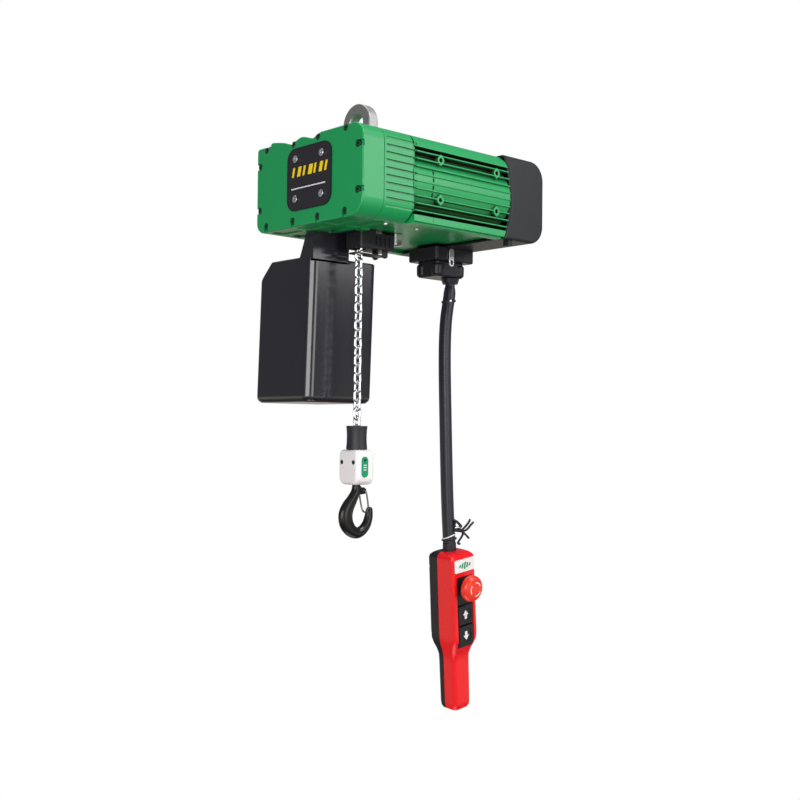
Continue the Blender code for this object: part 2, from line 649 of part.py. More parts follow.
def chain_bag():
    radii = [BAG_CORNER_R] * 4
    outline = rounded((BAG_X[0], BAG_Y[0]), (BAG_X[1], BAG_Y[1]), radii, 4)
    bag = extruded("chain_bag", outline, "Z", *BAG_Z)
    corner = [(BAG_Y[1] - BAG_CHAMFER, BAG_Z[1] + 1), (BAG_Y[1] + 1, BAG_Z[1] - BAG_CHAMFER),
              (BAG_Y[1] + 1, BAG_Z[1] + 1)]
    cut(bag, extruded("chamfer", corner, "X", BAG_X[0] - 1, BAG_X[1] + 1))
    wide, narrow = NECK_BENDS
    neck = lofted("neck", [neck_section(BAG_Z[1] - 5, wide), neck_section(BASE - GAP, narrow)])
    tab = block("tab", (BAG_BOLT[0] - 14, 67, BASE - 6), (BAG_BOLT[0] + 9, 88, BASE - GAP))
    join(bag, neck, tab)
    wall = BAG_WALL
    inner = rounded((BAG_X[0] + wall, BAG_Y[0] + wall), (BAG_X[1] - wall, BAG_Y[1] - wall), [8] * 4, 4)
    inside = extruded("inside", inner, "Z", BAG_Z[0] + wall, BAG_Z[1] - wall)
    inner_corner = [(corner[0][0] - 1.5 * wall, corner[0][1]), (corner[1][0], corner[1][1] - 1.5 * wall),
                    corner[2]]
    cut(inside, extruded("chamfer", inner_corner, "X", BAG_X[0] - 1, BAG_X[1] + 1))
    throat = lofted("throat", [inset_section(neck_section(BAG_Z[1] - 8, wide), NECK_WALL),
                               inset_section(neck_section(BASE + 2, narrow), NECK_WALL)])
    bolt_hole = cylinder("bolt_hole", "Z", BAG_BOLT, BASE - 10, BASE + 2, 3.3, 12)
    finish(hung_askew(cut(bag, inside, throat, bolt_hole)), "black_gloss")
    screw("bag_hanger_bolt", "Z", BAG_BOLT, (BASE - 11, BASE - 6 - GAP), BASE + 10, 6.0, 3.0, "dark_steel")


def stored_chain():
    """Heap of spare chain on the floor of the bag."""
    low = BAG_Z[0] + BAG_WALL + GAP
    middle_x, middle_y = sum(BAG_X) / 2, sum(BAG_Y) / 2
    sections = []
    for height, spread in ((0, 1.0), (14, 0.95), (24, 0.6), (28, 0.2)):
        half_x, half_y = 58 * spread, 62 * spread
        ring_points = [(middle_x + half_x * math.cos(a), middle_y + half_y * math.sin(a), low + height)
                       for a in (2 * math.pi * k / 12 for k in range(12))]
        sections.append(ring_points)
    return finish(hung_askew(lofted("stored_chain", sections)), "zinc")


# ---------------------------------------------------------------- hook side
def chain_link(centre_z, along_x):
    """Link with square wire and square ends, in the XZ plane or in the YZ plane."""
    half_width, half_height = LINK_WIDTH / 2, CHAIN_PITCH / 2 - LINK_OVERLAP / 2
    outline = [(-half_width, -half_height - 2 * WIRE_R), (half_width, half_height + 2 * WIRE_R)]
    opening = [(-half_width + 2 * WIRE_R, -half_height), (half_width - 2 * WIRE_R, half_height)]
    axis = "Y" if along_x else "X"
    bm = bmesh.new()
    rings = []
    for (u0, v0), (u1, v1) in (outline, opening):
        for across in (-WIRE_R, WIRE_R):
            corners = ((u0, v0), (u1, v0), (u1, v1), (u0, v1))
            rings.append([bm.verts.new(ON_PLANE[axis](u, v + centre_z, across)) for u, v in corners])
    outer_low, outer_high, inner_low, inner_high = rings
    for one, two in ((outer_low, outer_high), (outer_high, inner_high), (inner_high, inner_low),
                     (inner_low, outer_low)):
        for i in range(4):
            j = (i + 1) % 4
            bm.faces.new((one[i], one[j], two[j], two[i]))
    return make("link", bm)


def load_chain(holder):
    lowest = PIN_Z + (CHAIN_PITCH - LINK_OVERLAP) / 2 - PIN_R - GAP
    links = [chain_link(lowest + CHAIN_PITCH * i, i % 2 == 1) for i in range(LINKS)]
    chain = links[0]
    chain.name = "load_chain"
    for link in links[1:]:
        join(chain, link)
    return finish(chain, "zinc", holder)


def hook_block(holder):
    turned_hole = [(BLOCK_LOW - 1, 0), (BLOCK_LOW - 1, 8.4), (BLOCK_LOW + 9, 8.4), (BLOCK_LOW + 9, 14.5),
                   (BLOCK_LOW + 27, 14.5), (BLOCK_LOW + 27, 9.8), (BLOCK_HIGH + 1, 9.8), (BLOCK_HIGH + 1, 0)]
    for name, side in (("hook_block_front", -1), ("hook_block_rear", 1)):
        low, high = sorted((side * 0.15, side * BLOCK_X))
        outline = rounded((-BLOCK_Y, BLOCK_LOW), (BLOCK_Y, BLOCK_HIGH), (9, 9, 9, 9), 4)
        half = extruded(name, outline, "X", low, high)
        cuts = [turned("core", turned_hole, "Z", (0, 0), 16),
                cylinder("pin_seat", "X", (0, PIN_Z), -17, 17, PIN_R + GAP, 10)]
        for place in (-BLOCK_SCREW_Y, BLOCK_SCREW_Y):
            steps = [(-BLOCK_X - 1, 0), (-BLOCK_X - 1, 3.6), (-BLOCK_X + 3, 3.6), (-BLOCK_X + 3, 2.1),
                     (15, 2.1), (15, 0)]
            cuts.append(turned("screw_hole", steps, "X", (place, BLOCK_SCREW_Z), 10))
        finish(cut(half, *cuts), "white_plastic", holder)
    for number, place in enumerate((-BLOCK_SCREW_Y, BLOCK_SCREW_Y), 1):
        piece = screw(f"block_screw_{number}", "X", (place, BLOCK_SCREW_Z),
                      (-BLOCK_X + 0.2, -BLOCK_X + 3 - GAP), 14, 3.3, 1.8, "dark_steel")
        piece.parent = holder
        piece.matrix_parent_inverse = Matrix.Translation(holder.location).inverted()
    finish(cylinder("chain_pin", "X", (0, PIN_Z), -16.5, 16.5, PIN_R, 10), "steel", holder)
    buffer_profile = [(BUFFER[0], 9.8), (BUFFER[0], 18), (-532.7, 17.2), (BUFFER[1], 18), (BUFFER[1], 9.8)]
    finish(turned("chain_buffer", buffer_profile, "Z", (0, 0), 20, hollow=True), "rubber", holder)
    bearing = ring("thrust_bearing", "Z", (0, 0), BLOCK_LOW + 9.3, BLOCK_LOW + 15, 6.9, 13.8, 16)
    finish(bearing, "steel", holder)


def hook(holder):
    # x, z, half width in the plane of the hook, half thickness across it
    path = [(0, -588.5, 6.3, 6.3), (0, -605, 6.4, 6.4), (0, -616, 7.2, 7.0), (-2, -626, 8.2, 7.4),
            (-9, -638, 10, 7.8), (-17.5, -650, 12.3, 8.3), (-22.5, -663, 14, 8.5), (-20.5, -677, 13.6, 8.5),
            (-11, -689, 11.5, 8.3), (2, -694.2, 9.6, 8.0), (14, -690.5, 9, 7.6), (23.5, -681, 8.5, 7.2),
            (28.3, -669, 7.8, 6.6), (29.8, -658, 6.5, 5.6), (29.8, -651.5, 4.2, 4.0)]
    body = swept("hook", path, 10)
    ear_outline = arc(LATCH_PIVOT, 6.0, -60, 120, 5) + [(4, -612), (2, -630)]
    ear = extruded("ear", ear_outline, "Y", -4, 4)
    pin_hole = cylinder("pin_hole", "Y", LATCH_PIVOT, -8, 8, 2.2, 10)
    finish(cut(join(body, ear), pin_hole), "dark_steel", holder)
    finish(cylinder("latch_pin", "Y", LATCH_PIVOT, -4.6, 4.6, 1.9, 10), "steel", holder)
    nut = ring("hook_nut", "Z", (0, 0), BLOCK_LOW + 15.5, BLOCK_LOW + 23, 7.8, 13.8, 6)
    finish(nut, "steel", holder)


def wire(name, points, radius, sides_setting=2):
    """Bent wire or cable: a curve with a round section and closed ends."""
    curve = bpy.data.curves.new(name, "CURVE")
    curve.dimensions = "3D"
    curve.bevel_depth = radius * MM
    curve.bevel_resolution = sides_setting
    curve.use_fill_caps = True
    spline = curve.splines.new("POLY")
    spline.points.add(len(points) - 1)
    for point, spot in zip(spline.points, points):
        point.co = (spot[0] * MM, spot[1] * MM, spot[2] * MM, 1)
        point.radius = spot[3] if len(spot) > 3 else 1.0
    obj = bpy.data.objects.new(name, curve)
    bpy.context.scene.collection.objects.link(obj)
    return obj


def smooth_route(points, steps):
    """Catmull-Rom curve through the route's own points."""
    vectors = [Vector(point) for point in points]
    padded = [2 * vectors[0] - vectors[1]] + vectors + [2 * vectors[-1] - vectors[-2]]
    route = []
    for a, b, c, d in zip(padded, padded[1:], padded[2:], padded[3:]):
        for i in range(steps):
            t = i / steps
            route.append(0.5 * (2 * b + (c - a) * t + (2 * a - 5 * b + 4 * c - d) * t ** 2
                                + (3 * b - a - 3 * c + d) * t ** 3))
    return route + [vectors[-1]]


def hook_latch(holder):
    x, z = LATCH_PIVOT
    near = [(x, -5.3, z), (x, -7.6, z - 0.5), (x + 1.2, -9.6, z - 4), (x + 4, -9.6, z - 18),
            (x + 6, -8.6, z - 29), (x + 6.3, -5.5, z - 34.5), (x + 6.3, -2, z - 36.2)]
    far = [(px, -py, pz) for px, py, pz in reversed(near)]
    latch = wire("hook_latch", near + far, 1.3)
    latch.parent = holder
    latch.matrix_parent_inverse = Matrix.Translation(holder.location).inverted()
    latch.data.materials.append(paint("zinc"))
    return latch


# ---------------------------------------------------------------- plug, cable and pendant
def plug_connection():
    base = extruded("connector_base", rounded((PLUG_X[0], PLUG_Y[0]), (PLUG_X[1], PLUG_Y[1]), [5] * 4, 2),
                    "Z", PLUG_LEVELS[1], PLUG_LEVELS[0])
    finish(base, "black_plastic")
    hood = extruded("connector_hood", rounded((HOOD_X[0], HOOD_Y[0]), (HOOD_X[1], HOOD_Y[1]), [8] * 4, 3),
                    "Z", PLUG_LEVELS[2], PLUG_LEVELS[1] - GAP)
    finish(hood, "black_plastic")
    profile = [(PLUG_LEVELS[3], 0), (PLUG_LEVELS[3], 14), (PLUG_LEVELS[2] - GAP, 17),
               (PLUG_LEVELS[2] - GAP, 0)]
    finish(turned("cable_gland", profile, "Z", CABLE_EXIT[:2], 16), "black_plastic")
    outline = rounded((215, -219.4), (227, -186), (5.9, 5.9, 5.9, 5.9), 3)
    lever = extruded("connector_lever", outline, "Y", -3.3, -0.6)
    slot = extruded("slot", rounded((218, -216), (224, -199), (2.9,) * 4, 2), "Y", -5, 1)
    finish(cut(lever, slot), "zinc", pivot("connector_lever_pivot", (221, 0, -192)))


def pendant_cable(holder):
    route = [(*spot, 1.0) for spot in smooth_route(CABLE_ROUTE, 2)]
    for index, share in ((0, 0.14), (1, 0.5)):
        route[index] = (*route[index][:3], share)
    cable = wire("pendant_cable", route, CABLE_R, 3)
    cable.parent = holder
    cable.matrix_parent_inverse = Matrix.Translation(holder.location).inverted()
    cable.data.materials.append(paint("rubber"))
    return cable


def pendant_half(name, side, inset):
    """Front half (side -1) or back half (side 1) of the pendant, one cross section per height."""
    sections = []
    for z, half, front, back in PENDANT_SECTIONS:
        depth = (front if side < 0 else back) - inset
        face = side * depth + (SPLIT_Y if side > 0 else 0)
        split = SPLIT_Y + side * (GAP / 2) if inset == 0 else SPLIT_Y - side * 5
        width, radius = half - inset, 6.0
        corner = arc((width - radius, 0), radius, 0, 90, 3)
        edge = [(u, face - side * (radius - v)) for u, v in corner]
        outline = [(width, split)] + edge + [(-u, v) for u, v in reversed(edge)] + [(-width, split)]
        height = z - inset * (1 if z > -100 else -1)
        sections.append([(u, v, height) for u, v in outline])
    return lofted(name, sections)


def pendant(holder):
    half_width, low, high, floor = CHANNEL
    front = cut(pendant_half("pendant_front", -1, 0), pendant_half("hollow", -1, PENDANT_WALL + 6))
    channel = block("channel", (-half_width, -50, low), (half_width, floor, high))
    cut(front, channel)
    behind = BUTTON_Y[1] + BUTTON_TRAVEL + 0.5
    entries = [block("entry", (-BUTTON_HALF[0] - 0.5, -50, z - BUTTON_HALF[1] - 0.5),
                     (BUTTON_HALF[0] + 0.5, behind, z + BUTTON_HALF[1] + 0.5)) for z in BUTTON_Z]
    entries.append(cylinder("estop_entry", "Y", (0, ESTOP_Z), -50, -20, 10.5, 16))
    entries.append(cylinder("gland_entry", "Z", (0, 0), -20, 5, 12.4, 16))
    finish(cut(front, *entries), "red_plastic", holder, keep_place=False)
    back = cut(pendant_half("pendant_back", 1, 0), pendant_half("hollow", 1, PENDANT_WALL))
    cut(back, cylinder("gland_entry", "Z", (0, 0), -20, 5, 12.4, 16))
    finish(back, "black_plastic", holder, keep_place=False)

    label = extruded("pendant_label", rounded((-25, -37), (25, -13), [2] * 4, 1), "Y", -39.4, -38.3)
    finish(label, "white_plastic", holder, keep_place=False)
    gland = turned("pendant_gland", [(-12, 0), (-12, 12), (3, 12), (7, 11.5), (7, 0)], "Z", (0, 0), 16)
    finish(gland, "rubber", holder, keep_place=False)
    contacts = block("contact_block", (-19, -12, -166), (19, -3, -52))
    finish(contacts, "black_plastic", holder, keep_place=False)

    stem_profile = [(-18, 0), (-18, 9.5), (-40, 9.5), (-40, 6), (-46, 6), (-46, 0)]
    stem = turned("estop_stem", stem_profile, "Y", (0, ESTOP_Z), 16)
    finish(stem, "black_plastic", holder, keep_place=False)
    cap_profile = [(-40.5, 6.4), (-40.5, 12), (-47, 14), (-50, ESTOP_R), (-58, ESTOP_R), (-64, 17),
                   (-66, 8), (-66, 0), (-46.5, 0), (-46.5, 6.4)]
    cap = turned("estop_button", cap_profile, "Y", (0, ESTOP_Z), 20, hollow=True)
    finish(cap, "red_plastic", holder, keep_place=False)
    for name, z in zip(("button_up", "button_down"), BUTTON_Z):
        half_x, half_z = BUTTON_HALF
        outline = rounded((-half_x, z - half_z), (half_x, z + half_z), [3] * 4, 2)
        button = extruded(name, outline, "Y", *BUTTON_Y)
        finish(button, "black_plastic", holder, keep_place=False)


def main():
    clear_scene()
    gearbox_cover()
    cover_screws()
    gearbox_housing()
    motor_housing()
    rear_cover()
    nameplate()
    suspension_eye()
    drive_line()
    fixed_drive_pieces()
    chain_guide()
    limit_switch_lever()
    chain_bag()
    stored_chain()
    block_pivot = pivot("block_pivot", (0, 0, BLOCK_HIGH))
    hook_pivot = pivot("hook_pivot", (0, 0, BLOCK_LOW))
    load_chain(block_pivot)
    hook_block(block_pivot)
    hook(hook_pivot)
    hook_latch(pivot("latch_pivot", (LATCH_PIVOT[0], 0, LATCH_PIVOT[1])))
    plug_connection()
    pendant_cable(pivot("cable_pivot", CABLE_EXIT))
    turn = Matrix.Rotation(PENDANT_TILT, 3, Vector(TILT_AXIS)) @ Matrix.Rotation(PENDANT_LEAN, 3, "Y")
    pendant(pivot("pendant_pivot", PENDANT_TOP, turn))


main()
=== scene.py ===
"""Looks of the electric chain hoist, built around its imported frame.

Sizes in this script are millimetres along the frame's axes; meshes become metres as they are made.
Every object's mesh holds its place, so object coordinates are the frame's own.
"""
import math
import random

import bmesh
import bpy
from mathutils import Matrix, Vector


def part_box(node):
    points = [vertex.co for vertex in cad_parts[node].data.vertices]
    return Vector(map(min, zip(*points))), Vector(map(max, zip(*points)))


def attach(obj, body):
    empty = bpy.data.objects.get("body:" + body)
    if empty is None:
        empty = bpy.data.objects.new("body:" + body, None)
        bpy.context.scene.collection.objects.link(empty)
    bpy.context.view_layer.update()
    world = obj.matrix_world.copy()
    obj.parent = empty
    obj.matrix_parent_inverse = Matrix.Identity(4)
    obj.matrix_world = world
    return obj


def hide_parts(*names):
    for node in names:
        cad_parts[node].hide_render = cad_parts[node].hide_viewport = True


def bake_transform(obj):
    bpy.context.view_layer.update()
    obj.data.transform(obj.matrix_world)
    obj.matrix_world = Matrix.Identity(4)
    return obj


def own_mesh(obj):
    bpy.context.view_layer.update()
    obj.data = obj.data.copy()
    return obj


MM = 0.001
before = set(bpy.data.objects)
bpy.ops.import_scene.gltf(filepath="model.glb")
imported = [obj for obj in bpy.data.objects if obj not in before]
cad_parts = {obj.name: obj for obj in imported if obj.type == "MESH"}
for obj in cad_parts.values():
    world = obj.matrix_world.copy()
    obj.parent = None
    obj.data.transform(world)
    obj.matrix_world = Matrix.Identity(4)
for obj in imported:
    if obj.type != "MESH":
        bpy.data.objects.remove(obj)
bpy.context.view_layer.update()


def size(node):
    """Lowest and highest corner of a node, in millimetres."""
    low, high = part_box(node)
    return low / MM, high / MM


# Places read from the frame
COVER_BOX, HOUSING_BOX, MOTOR_BOX, REAR_BOX, PLATE_BOX = map(size,
    ("gearbox_cover", "gearbox_housing", "motor_housing", "rear_cover", "nameplate"))
FRONT, COVER_REAR = COVER_BOX[0].x, COVER_BOX[1].x
BASE, TOP = HOUSING_BOX[0].z, HOUSING_BOX[1].z
MIDDLE, SIDE = (BASE + TOP) / 2, HOUSING_BOX[1].y
HOUSING_FRONT, HOUSING_REAR = HOUSING_BOX[0].x, HOUSING_BOX[1].x
REAR = REAR_BOX[1].x

# Shapes that the frame's boxes don't give
NEAR_BASE_R, FAR_BASE_R, FAR_TOP_R, NEAR_TOP_R = 30.0, 19.0, 6.0, 25.0
# Top edge of the front cover over its two cast lobes: distance from the near side, height step
LOBES = ((243, 0), (239, 4.5), (225, 3), (205, -1), (190, -6), (184, -7.5), (178, -5), (171, -2.5),
    (160, 0.5), (150, -0.5), (138, -4), (128, -6.5), (122, -5), (115, -1), (108, 0))
RIBBED_REAR, NECK_REAR = FRONT + 108.0, FRONT + 110.6
COVER_WALL, COVER_RIM, COVER_SIDE_RIM = 7.0, 17.0, 21.0
GROOVES, GROOVE_PITCH, GROOVE_WIDTH, GROOVE_DEPTH = 10, 12.1, 3.5, 3.0
FIRST_GROOVE, GROOVE_FRONT = BASE + 19.5, FRONT + 49
EYE_R, EYE_HOLE_R = 35.0, 16.5
FINS, FIN_PITCH, FIN_HALF = 9, 12.1, 1.1
FLOOR_RADIUS, FLOOR_CENTRE = 73.5, 65.0
RAIL_LOW, RAIL_HIGH, RAIL_WIDTH, UNDERSIDE_RISE = 3.0, 14.0, 22.0, 6.0
CAVITY_RADIUS = 62.0
BOSS_X, BOSS_Z = (FRONT + 170, FRONT + 306), (BASE + 44.8, BASE + 110.8)
BOSS_R, BOSS_HOLE_R, BOSS_DEPTH = 7.5, 3.5, 22.0
REAR_ARC_R, REAR_ARC_X = 159.0, FRONT + 183
REAR_EDGE_R, REAR_WALL = 33.0, 4.0
# Front cover screws: distance from the near side, height over the base
SCREWS_BELOW = ((43.5, 10), (112.5, 10), (178, 10), (252, 10))
SCREWS_ABOVE = ((42.5, 142.5), (112.5, 140.5), (178, 139), (252.5, 141.5))
SCREWS_NEAR, SCREWS_FAR = ((12.5, 39.5), (12.5, 111.5)), ((271, 39), (271, 115))
UNDERSIDE_SCREWS = ((-33, -104), (-33, 38), (36, -104), (36, 100))
PLATE_SCREWS = ((-41.3, -139.3), (27.5, -139.3), (-41.3, -73.0), (27.5, -73.0))
BLOCK_SCREWS = ((-15.0, -574.4), (15.0, -574.4))
# Reliefs cast into the underside, as low and high corners: under the front cover, and round the chain guide
COVER_RELIEFS = (((-104, -96), (-76, -30)), ((-104, -18), (-76, 40)), ((-104, 52), (-76, 112)))
GUIDE_RELIEFS = (((-62, -112), (-36, -34)), ((-30, -112), (32, -34)), ((-62, -26), (-36, 34)),
    ((-62, 44), (-36, 112)), ((-30, 92), (32, 112)))
# Half widths and number of links of each layer of stored chain
STORED_LAYERS = ((48, 52, 21), (33, 36, 14), (42, 45, 18), (24, 27, 10))

# Load chain: the first links are held inside the block and the buffer; the last ends in the wheel's chamber
CHAIN_PITCH, WIRE_R, LINK_WIDTH, LINKS, HELD_LINKS = 15.0, 2.5, 17.0, 26, 3
PIN_Z, BLOCK_LOW, BLOCK_HIGH = -571.5, -612.4, -553.4
BLOCK_X, BLOCK_Y = 20.0, 24.5
LATCH_PIVOT = (14.0, -623.4)
BAG_X, BAG_Y, BAG_Z = (-72.0, 75.5), (35.1, 188.0), (-473.8, -226.8)
BAG_CORNER_R, BAG_CHAMFER, BAG_WALL, NECK_WALL = 15.0, 41.0, 3.0, 2.4
NECK_NEAR, NECK_FAR, NECK_SIDE, NECK_BENDS = 32.6, 82.6, 25.5, ((70.6, -64.3), (52.6, -48.3))
BAG_BOLT, BAG_LEAN, BAG_HANGER_Z = (36.0, 78.0), (-0.0186, 0.0171), BASE - 12
PLUG_TOP, PLUG_FLANGE, PLUG_HOOD, PLUG_LOW = BASE - 0.3, -208.0, -236.0, -246.4

CABLE_EXIT, CABLE_R = (248.5, 28.0, -246.4), 11.0
# Route of the cable down to the pendant
CABLE_ROUTE = ((248.5, 28.0, -247.0), (248.2, 28.0, -253.0), (247.0, 28.0, -268.0), (243.0, 28.1, -290.0),
    (239.5, 28.2, -312.0), (237.4, 28.3, -340.0), (236.8, 28.4, -375.0), (237.6, 28.4, -420.0),
    (239.8, 28.4, -480.0), (242.4, 28.4, -545.0), (245.2, 28.4, -610.0), (248.2, 28.3, -665.0),
    (251.0, 28.2, -703.0), (253.0, 28.0, -729.0))
PENDANT_TOP, PENDANT_LEAN, PENDANT_SWAY = (253.4, 28.0, -738.4), 6, -3.5
PENDANT_PLACE = (Matrix.Translation(PENDANT_TOP)
                 @ Matrix.Rotation(math.radians(PENDANT_LEAN), 4, Vector((0.736, -0.677, 0)))
                 @ Matrix.Rotation(math.radians(PENDANT_SWAY), 4, "Y"))
SPLIT_Y = 3.0
# Height, half width, front depth, back depth and corner radius of the pendant's cross sections
PENDANT_SECTIONS = ((-3, 21, 21, 15, 5), (-5, 25, 28, 19, 6), (-9, 29, 34.5, 23.5, 6),
    (-14, 30.2, 36.2, 25, 6), (-158, 30.5, 38, 25, 6), (-168, 30, 37.4, 24.8, 6.5), (-178, 28, 34, 23, 7.5),
    (-189, 24.2, 28.8, 19, 7.5), (-200, 21.8, 25.4, 16.4, 7.5), (-212, 21.4, 24.9, 16, 7.5),
    (-292, 21, 24.5, 15.5, 7.5), (-299, 20.2, 23.4, 14.4, 7), (-304, 17.5, 20, 12, 6.5))
ESTOP_Z, BUTTON_Z, BUTTON_HALF = -66.0, (-119.0, -158.0), (18.5, 18.0)
CHANNEL_HALF, CHANNEL_LOW, CHANNEL_HIGH, CHANNEL_FLOOR = 20.5, -181.0, -46.0, -32.0

ON_PLANE = {
    "X": lambda u, v, w: (w, u, v),
    "Y": lambda u, v, w: (u, w, v),
    "Z": lambda u, v, w: (u, v, w),
}


# ---------------------------------------------------------------- mesh tools
def linked(name, data):
    obj = bpy.data.objects.new(name, data)
    bpy.context.scene.collection.objects.link(obj)
    return obj


def linked_mesh(name, bm):
    mesh = bpy.data.meshes.new(name)
    bm.to_mesh(mesh)
    bm.free()
    return linked(name, mesh)


def make(name, bm, place=None):
    """Turns a bmesh in millimetres into a linked object in metres, faces pointing out."""
    bmesh.ops.recalc_face_normals(bm, faces=bm.faces)
    if place:
        bmesh.ops.transform(bm, matrix=place, verts=bm.verts)
    bmesh.ops.scale(bm, vec=(MM, MM, MM), verts=bm.verts)
    return linked_mesh(name, bm)


def arc(centre, radius, start, end, steps):
    """Points along an arc, angles in degrees."""
    angles = [math.radians(start + (end - start) * i / steps) for i in range(steps + 1)]
    return [(centre[0] + radius * math.cos(a), centre[1] + radius * math.sin(a)) for a in angles]


def circle(centre, radius, sides=32):
    return arc(centre, radius, 0, 360, sides)[:-1]


def rounded(low, high, radii, steps=8):
    """Rectangle outline, corner radii at low-low, high-low, high-high and low-high."""
    if not hasattr(radii, "__len__"):
        radii = [radii] * 4
    corners = ((low[0], low[1], 1, 1, 180), (high[0], low[1], -1, 1, 270), (high[0], high[1], -1, -1, 0),
        (low[0], high[1], 1, -1, 90))
    points = []
    for (u, v, side, rise, start), radius in zip(corners, radii):
        points += arc((u + side * radius, v + rise * radius), radius, start, start + 90, steps)
    return points


def smooth(points, steps):
    """Catmull-Rom curve through points of any number of values."""
    first = [2 * a - b for a, b in zip(points[0], points[1])]
    last = [2 * a - b for a, b in zip(points[-1], points[-2])]
    padded = [first] + list(points) + [last]
    curve = []
    for a, b, c, d in zip(padded, padded[1:], padded[2:], padded[3:]):
        for i in range(steps):
            t = i / steps
            curve.append([0.5 * (2 * q + (r - p) * t + (2 * p - 5 * q + 4 * r - s) * t ** 2
                + (3 * q - p - 3 * r + s) * t ** 3) for p, q, r, s in zip(a, b, c, d)])
    return curve + [list(points[-1])]


def inset(outline, amount):
    """The outline moved inwards by an amount, corner by corner."""
    if not amount:
        return outline
    count = len(outline)
    turn = 1 if sum(a[0] * b[1] - b[0] * a[1] for a, b in zip([outline[-1]] + outline, outline)) > 0 else -1
    inner = []
    for i in range(count):
        before, here, after = (Vector(outline[k % count]) for k in (i - 1, i, i + 1))
        one, two = (here - before).normalized(), (after - here).normalized()
        normal_one, normal_two = Vector((-one.y, one.x)) * turn, Vector((-two.y, two.x)) * turn
        inner.append(here + (normal_one + normal_two) * amount / max(1 + normal_one.dot(normal_two), 0.3))
    return [(p.x, p.y) for p in inner]


def skin(name, rings, looped=False, place=None):
    """Closed surface through rings of 3-D points, each with the same number."""
    bm = bmesh.new()
    made = [[bm.verts.new(point) for point in ring] for ring in rings]
    pairs = list(zip(made, made[1:])) + ([(made[-1], made[0])] if looped else [])
    count = len(made[0])
    for one, two in pairs:
        for i in range(count):
            j = (i + 1) % count
            bm.faces.new((one[i], one[j], two[j], two[i]))
    if not looped:
        bm.faces.new(made[0])
        bm.faces.new(made[-1])
    return make(name, bm, place)


def prism(name, outline, axis, low, high, edge=0.0, steps=3, place=None):
    """Prism of an outline from low to high along an axis, its end edges rounded.

    edge is one radius or a pair, for the low and the high end."""
    low_edge, high_edge = edge if hasattr(edge, "__len__") else (edge, edge)
    levels = []
    for radius, end, way in ((low_edge, low, 1), (high_edge, high, -1)):
        turns = [math.pi / 2 * k / steps for k in range(steps + 1)] if radius else [math.pi / 2]
        part = [(radius * (1 - math.sin(t)), end + way * radius * (1 - math.cos(t))) for t in turns]
        levels += part if way > 0 else part[::-1]
    rings = [[ON_PLANE[axis](u, v, w) for u, v in inset(outline, amount)] for amount, w in levels]
    return skin(name, rings, place=place)


def slab(name, axis, low, high, radii, start, end, edge=0.0, steps=3):
    """Prism of a rounded rectangle."""
    outline = rounded(low, high, radii)
    return prism(name, outline, axis, start, end, edge, steps)


def sided(name, outline, side, near, far, edge=0.0, steps=3):
    """Prism on one side of the hoist, between two distances from its middle plane."""
    return prism(name, outline, "Y", *sorted((side * near, side * far)), edge, steps)


def on_pendant(name, outline, start, end, edge=0.0, steps=3):
    """Prism through the pendant's thickness, in the pendant's own frame."""
    return prism(name, outline, "Y", start, end, edge, steps, PENDANT_PLACE)


def block(name, low, high, place=None):
    outline = [(low[0], low[1]), (high[0], low[1]), (high[0], high[1]), (low[0], high[1])]
    return prism(name, outline, "Z", low[2], high[2], place=place)


def turned(name, profile, axis, centre, sides=40, hollow=False, place=None):
    """Revolves (along, radius) points round an axis; a hollow one closes on itself."""
    bm = bmesh.new()
    rings = []
    for along, radius in profile:
        around = circle(centre, radius, sides) if radius else [centre]
        rings.append([bm.verts.new(ON_PLANE[axis](u, v, along)) for u, v in around])
    pairs = list(zip(rings, rings[1:])) + ([(rings[-1], rings[0])] if hollow else [])
    for one, two in pairs:
        if len(one) == len(two) == 1:
            continue
        for i in range(sides):
            j = (i + 1) % sides
            corners = [one[i % len(one)], one[j % len(one)], two[j % len(two)], two[i % len(two)]]
            bm.faces.new(list(dict.fromkeys(corners)))
    return make(name, bm, place)


def cylinder(name, axis, centre, low, high, radius, sides=32, edge=0.0, place=None):
    return prism(name, circle(centre, radius, sides), axis, low, high, edge, place=place)


def softened(profile, radius, steps=3):
    """A turned profile with its inner corners cut round."""
    points = [profile[0]]
    for before, here, after in zip(profile, profile[1:], profile[2:]):
        b, h, a = Vector(before), Vector(here), Vector(after)
        reach = min(radius, (b - h).length * 0.45, (a - h).length * 0.45)
        start, end = h + (b - h).normalized() * reach, h + (a - h).normalized() * reach
        for k in range(steps + 1):
            t = k / steps
            points.append(tuple(start * (1 - t) ** 2 + h * 2 * t * (1 - t) + end * t ** 2))
    return points + [profile[-1]]


def tube(name, path, radius, sides=12, closed=False):
    """Tube along a path of 3-D points; radius is a number or a function of place on the path and angle."""
    points = [Vector(p) for p in path]
    count = len(points)
    tangents = []
    for i in range(count):
        before = points[i - 1] if closed or i else points[0]
        after = points[(i + 1) % count] if closed or i < count - 1 else points[-1]
        tangents.append((after - before).normalized())
    normal = tangents[0].orthogonal().normalized()
    rings = []
    for i, (point, along) in enumerate(zip(points, tangents)):
        normal = (normal - along * normal.dot(along)).normalized()
        across = along.cross(normal)
        ring = []
        for k in range(sides):
            angle = 2 * math.pi * k / sides
            reach = radius(i / max(count - 1, 1), angle) if callable(radius) else radius
            ring.append(point + (normal * math.cos(angle) + across * math.sin(angle)) * reach)
        rings.append(ring)
    return skin(name, rings, looped=closed)


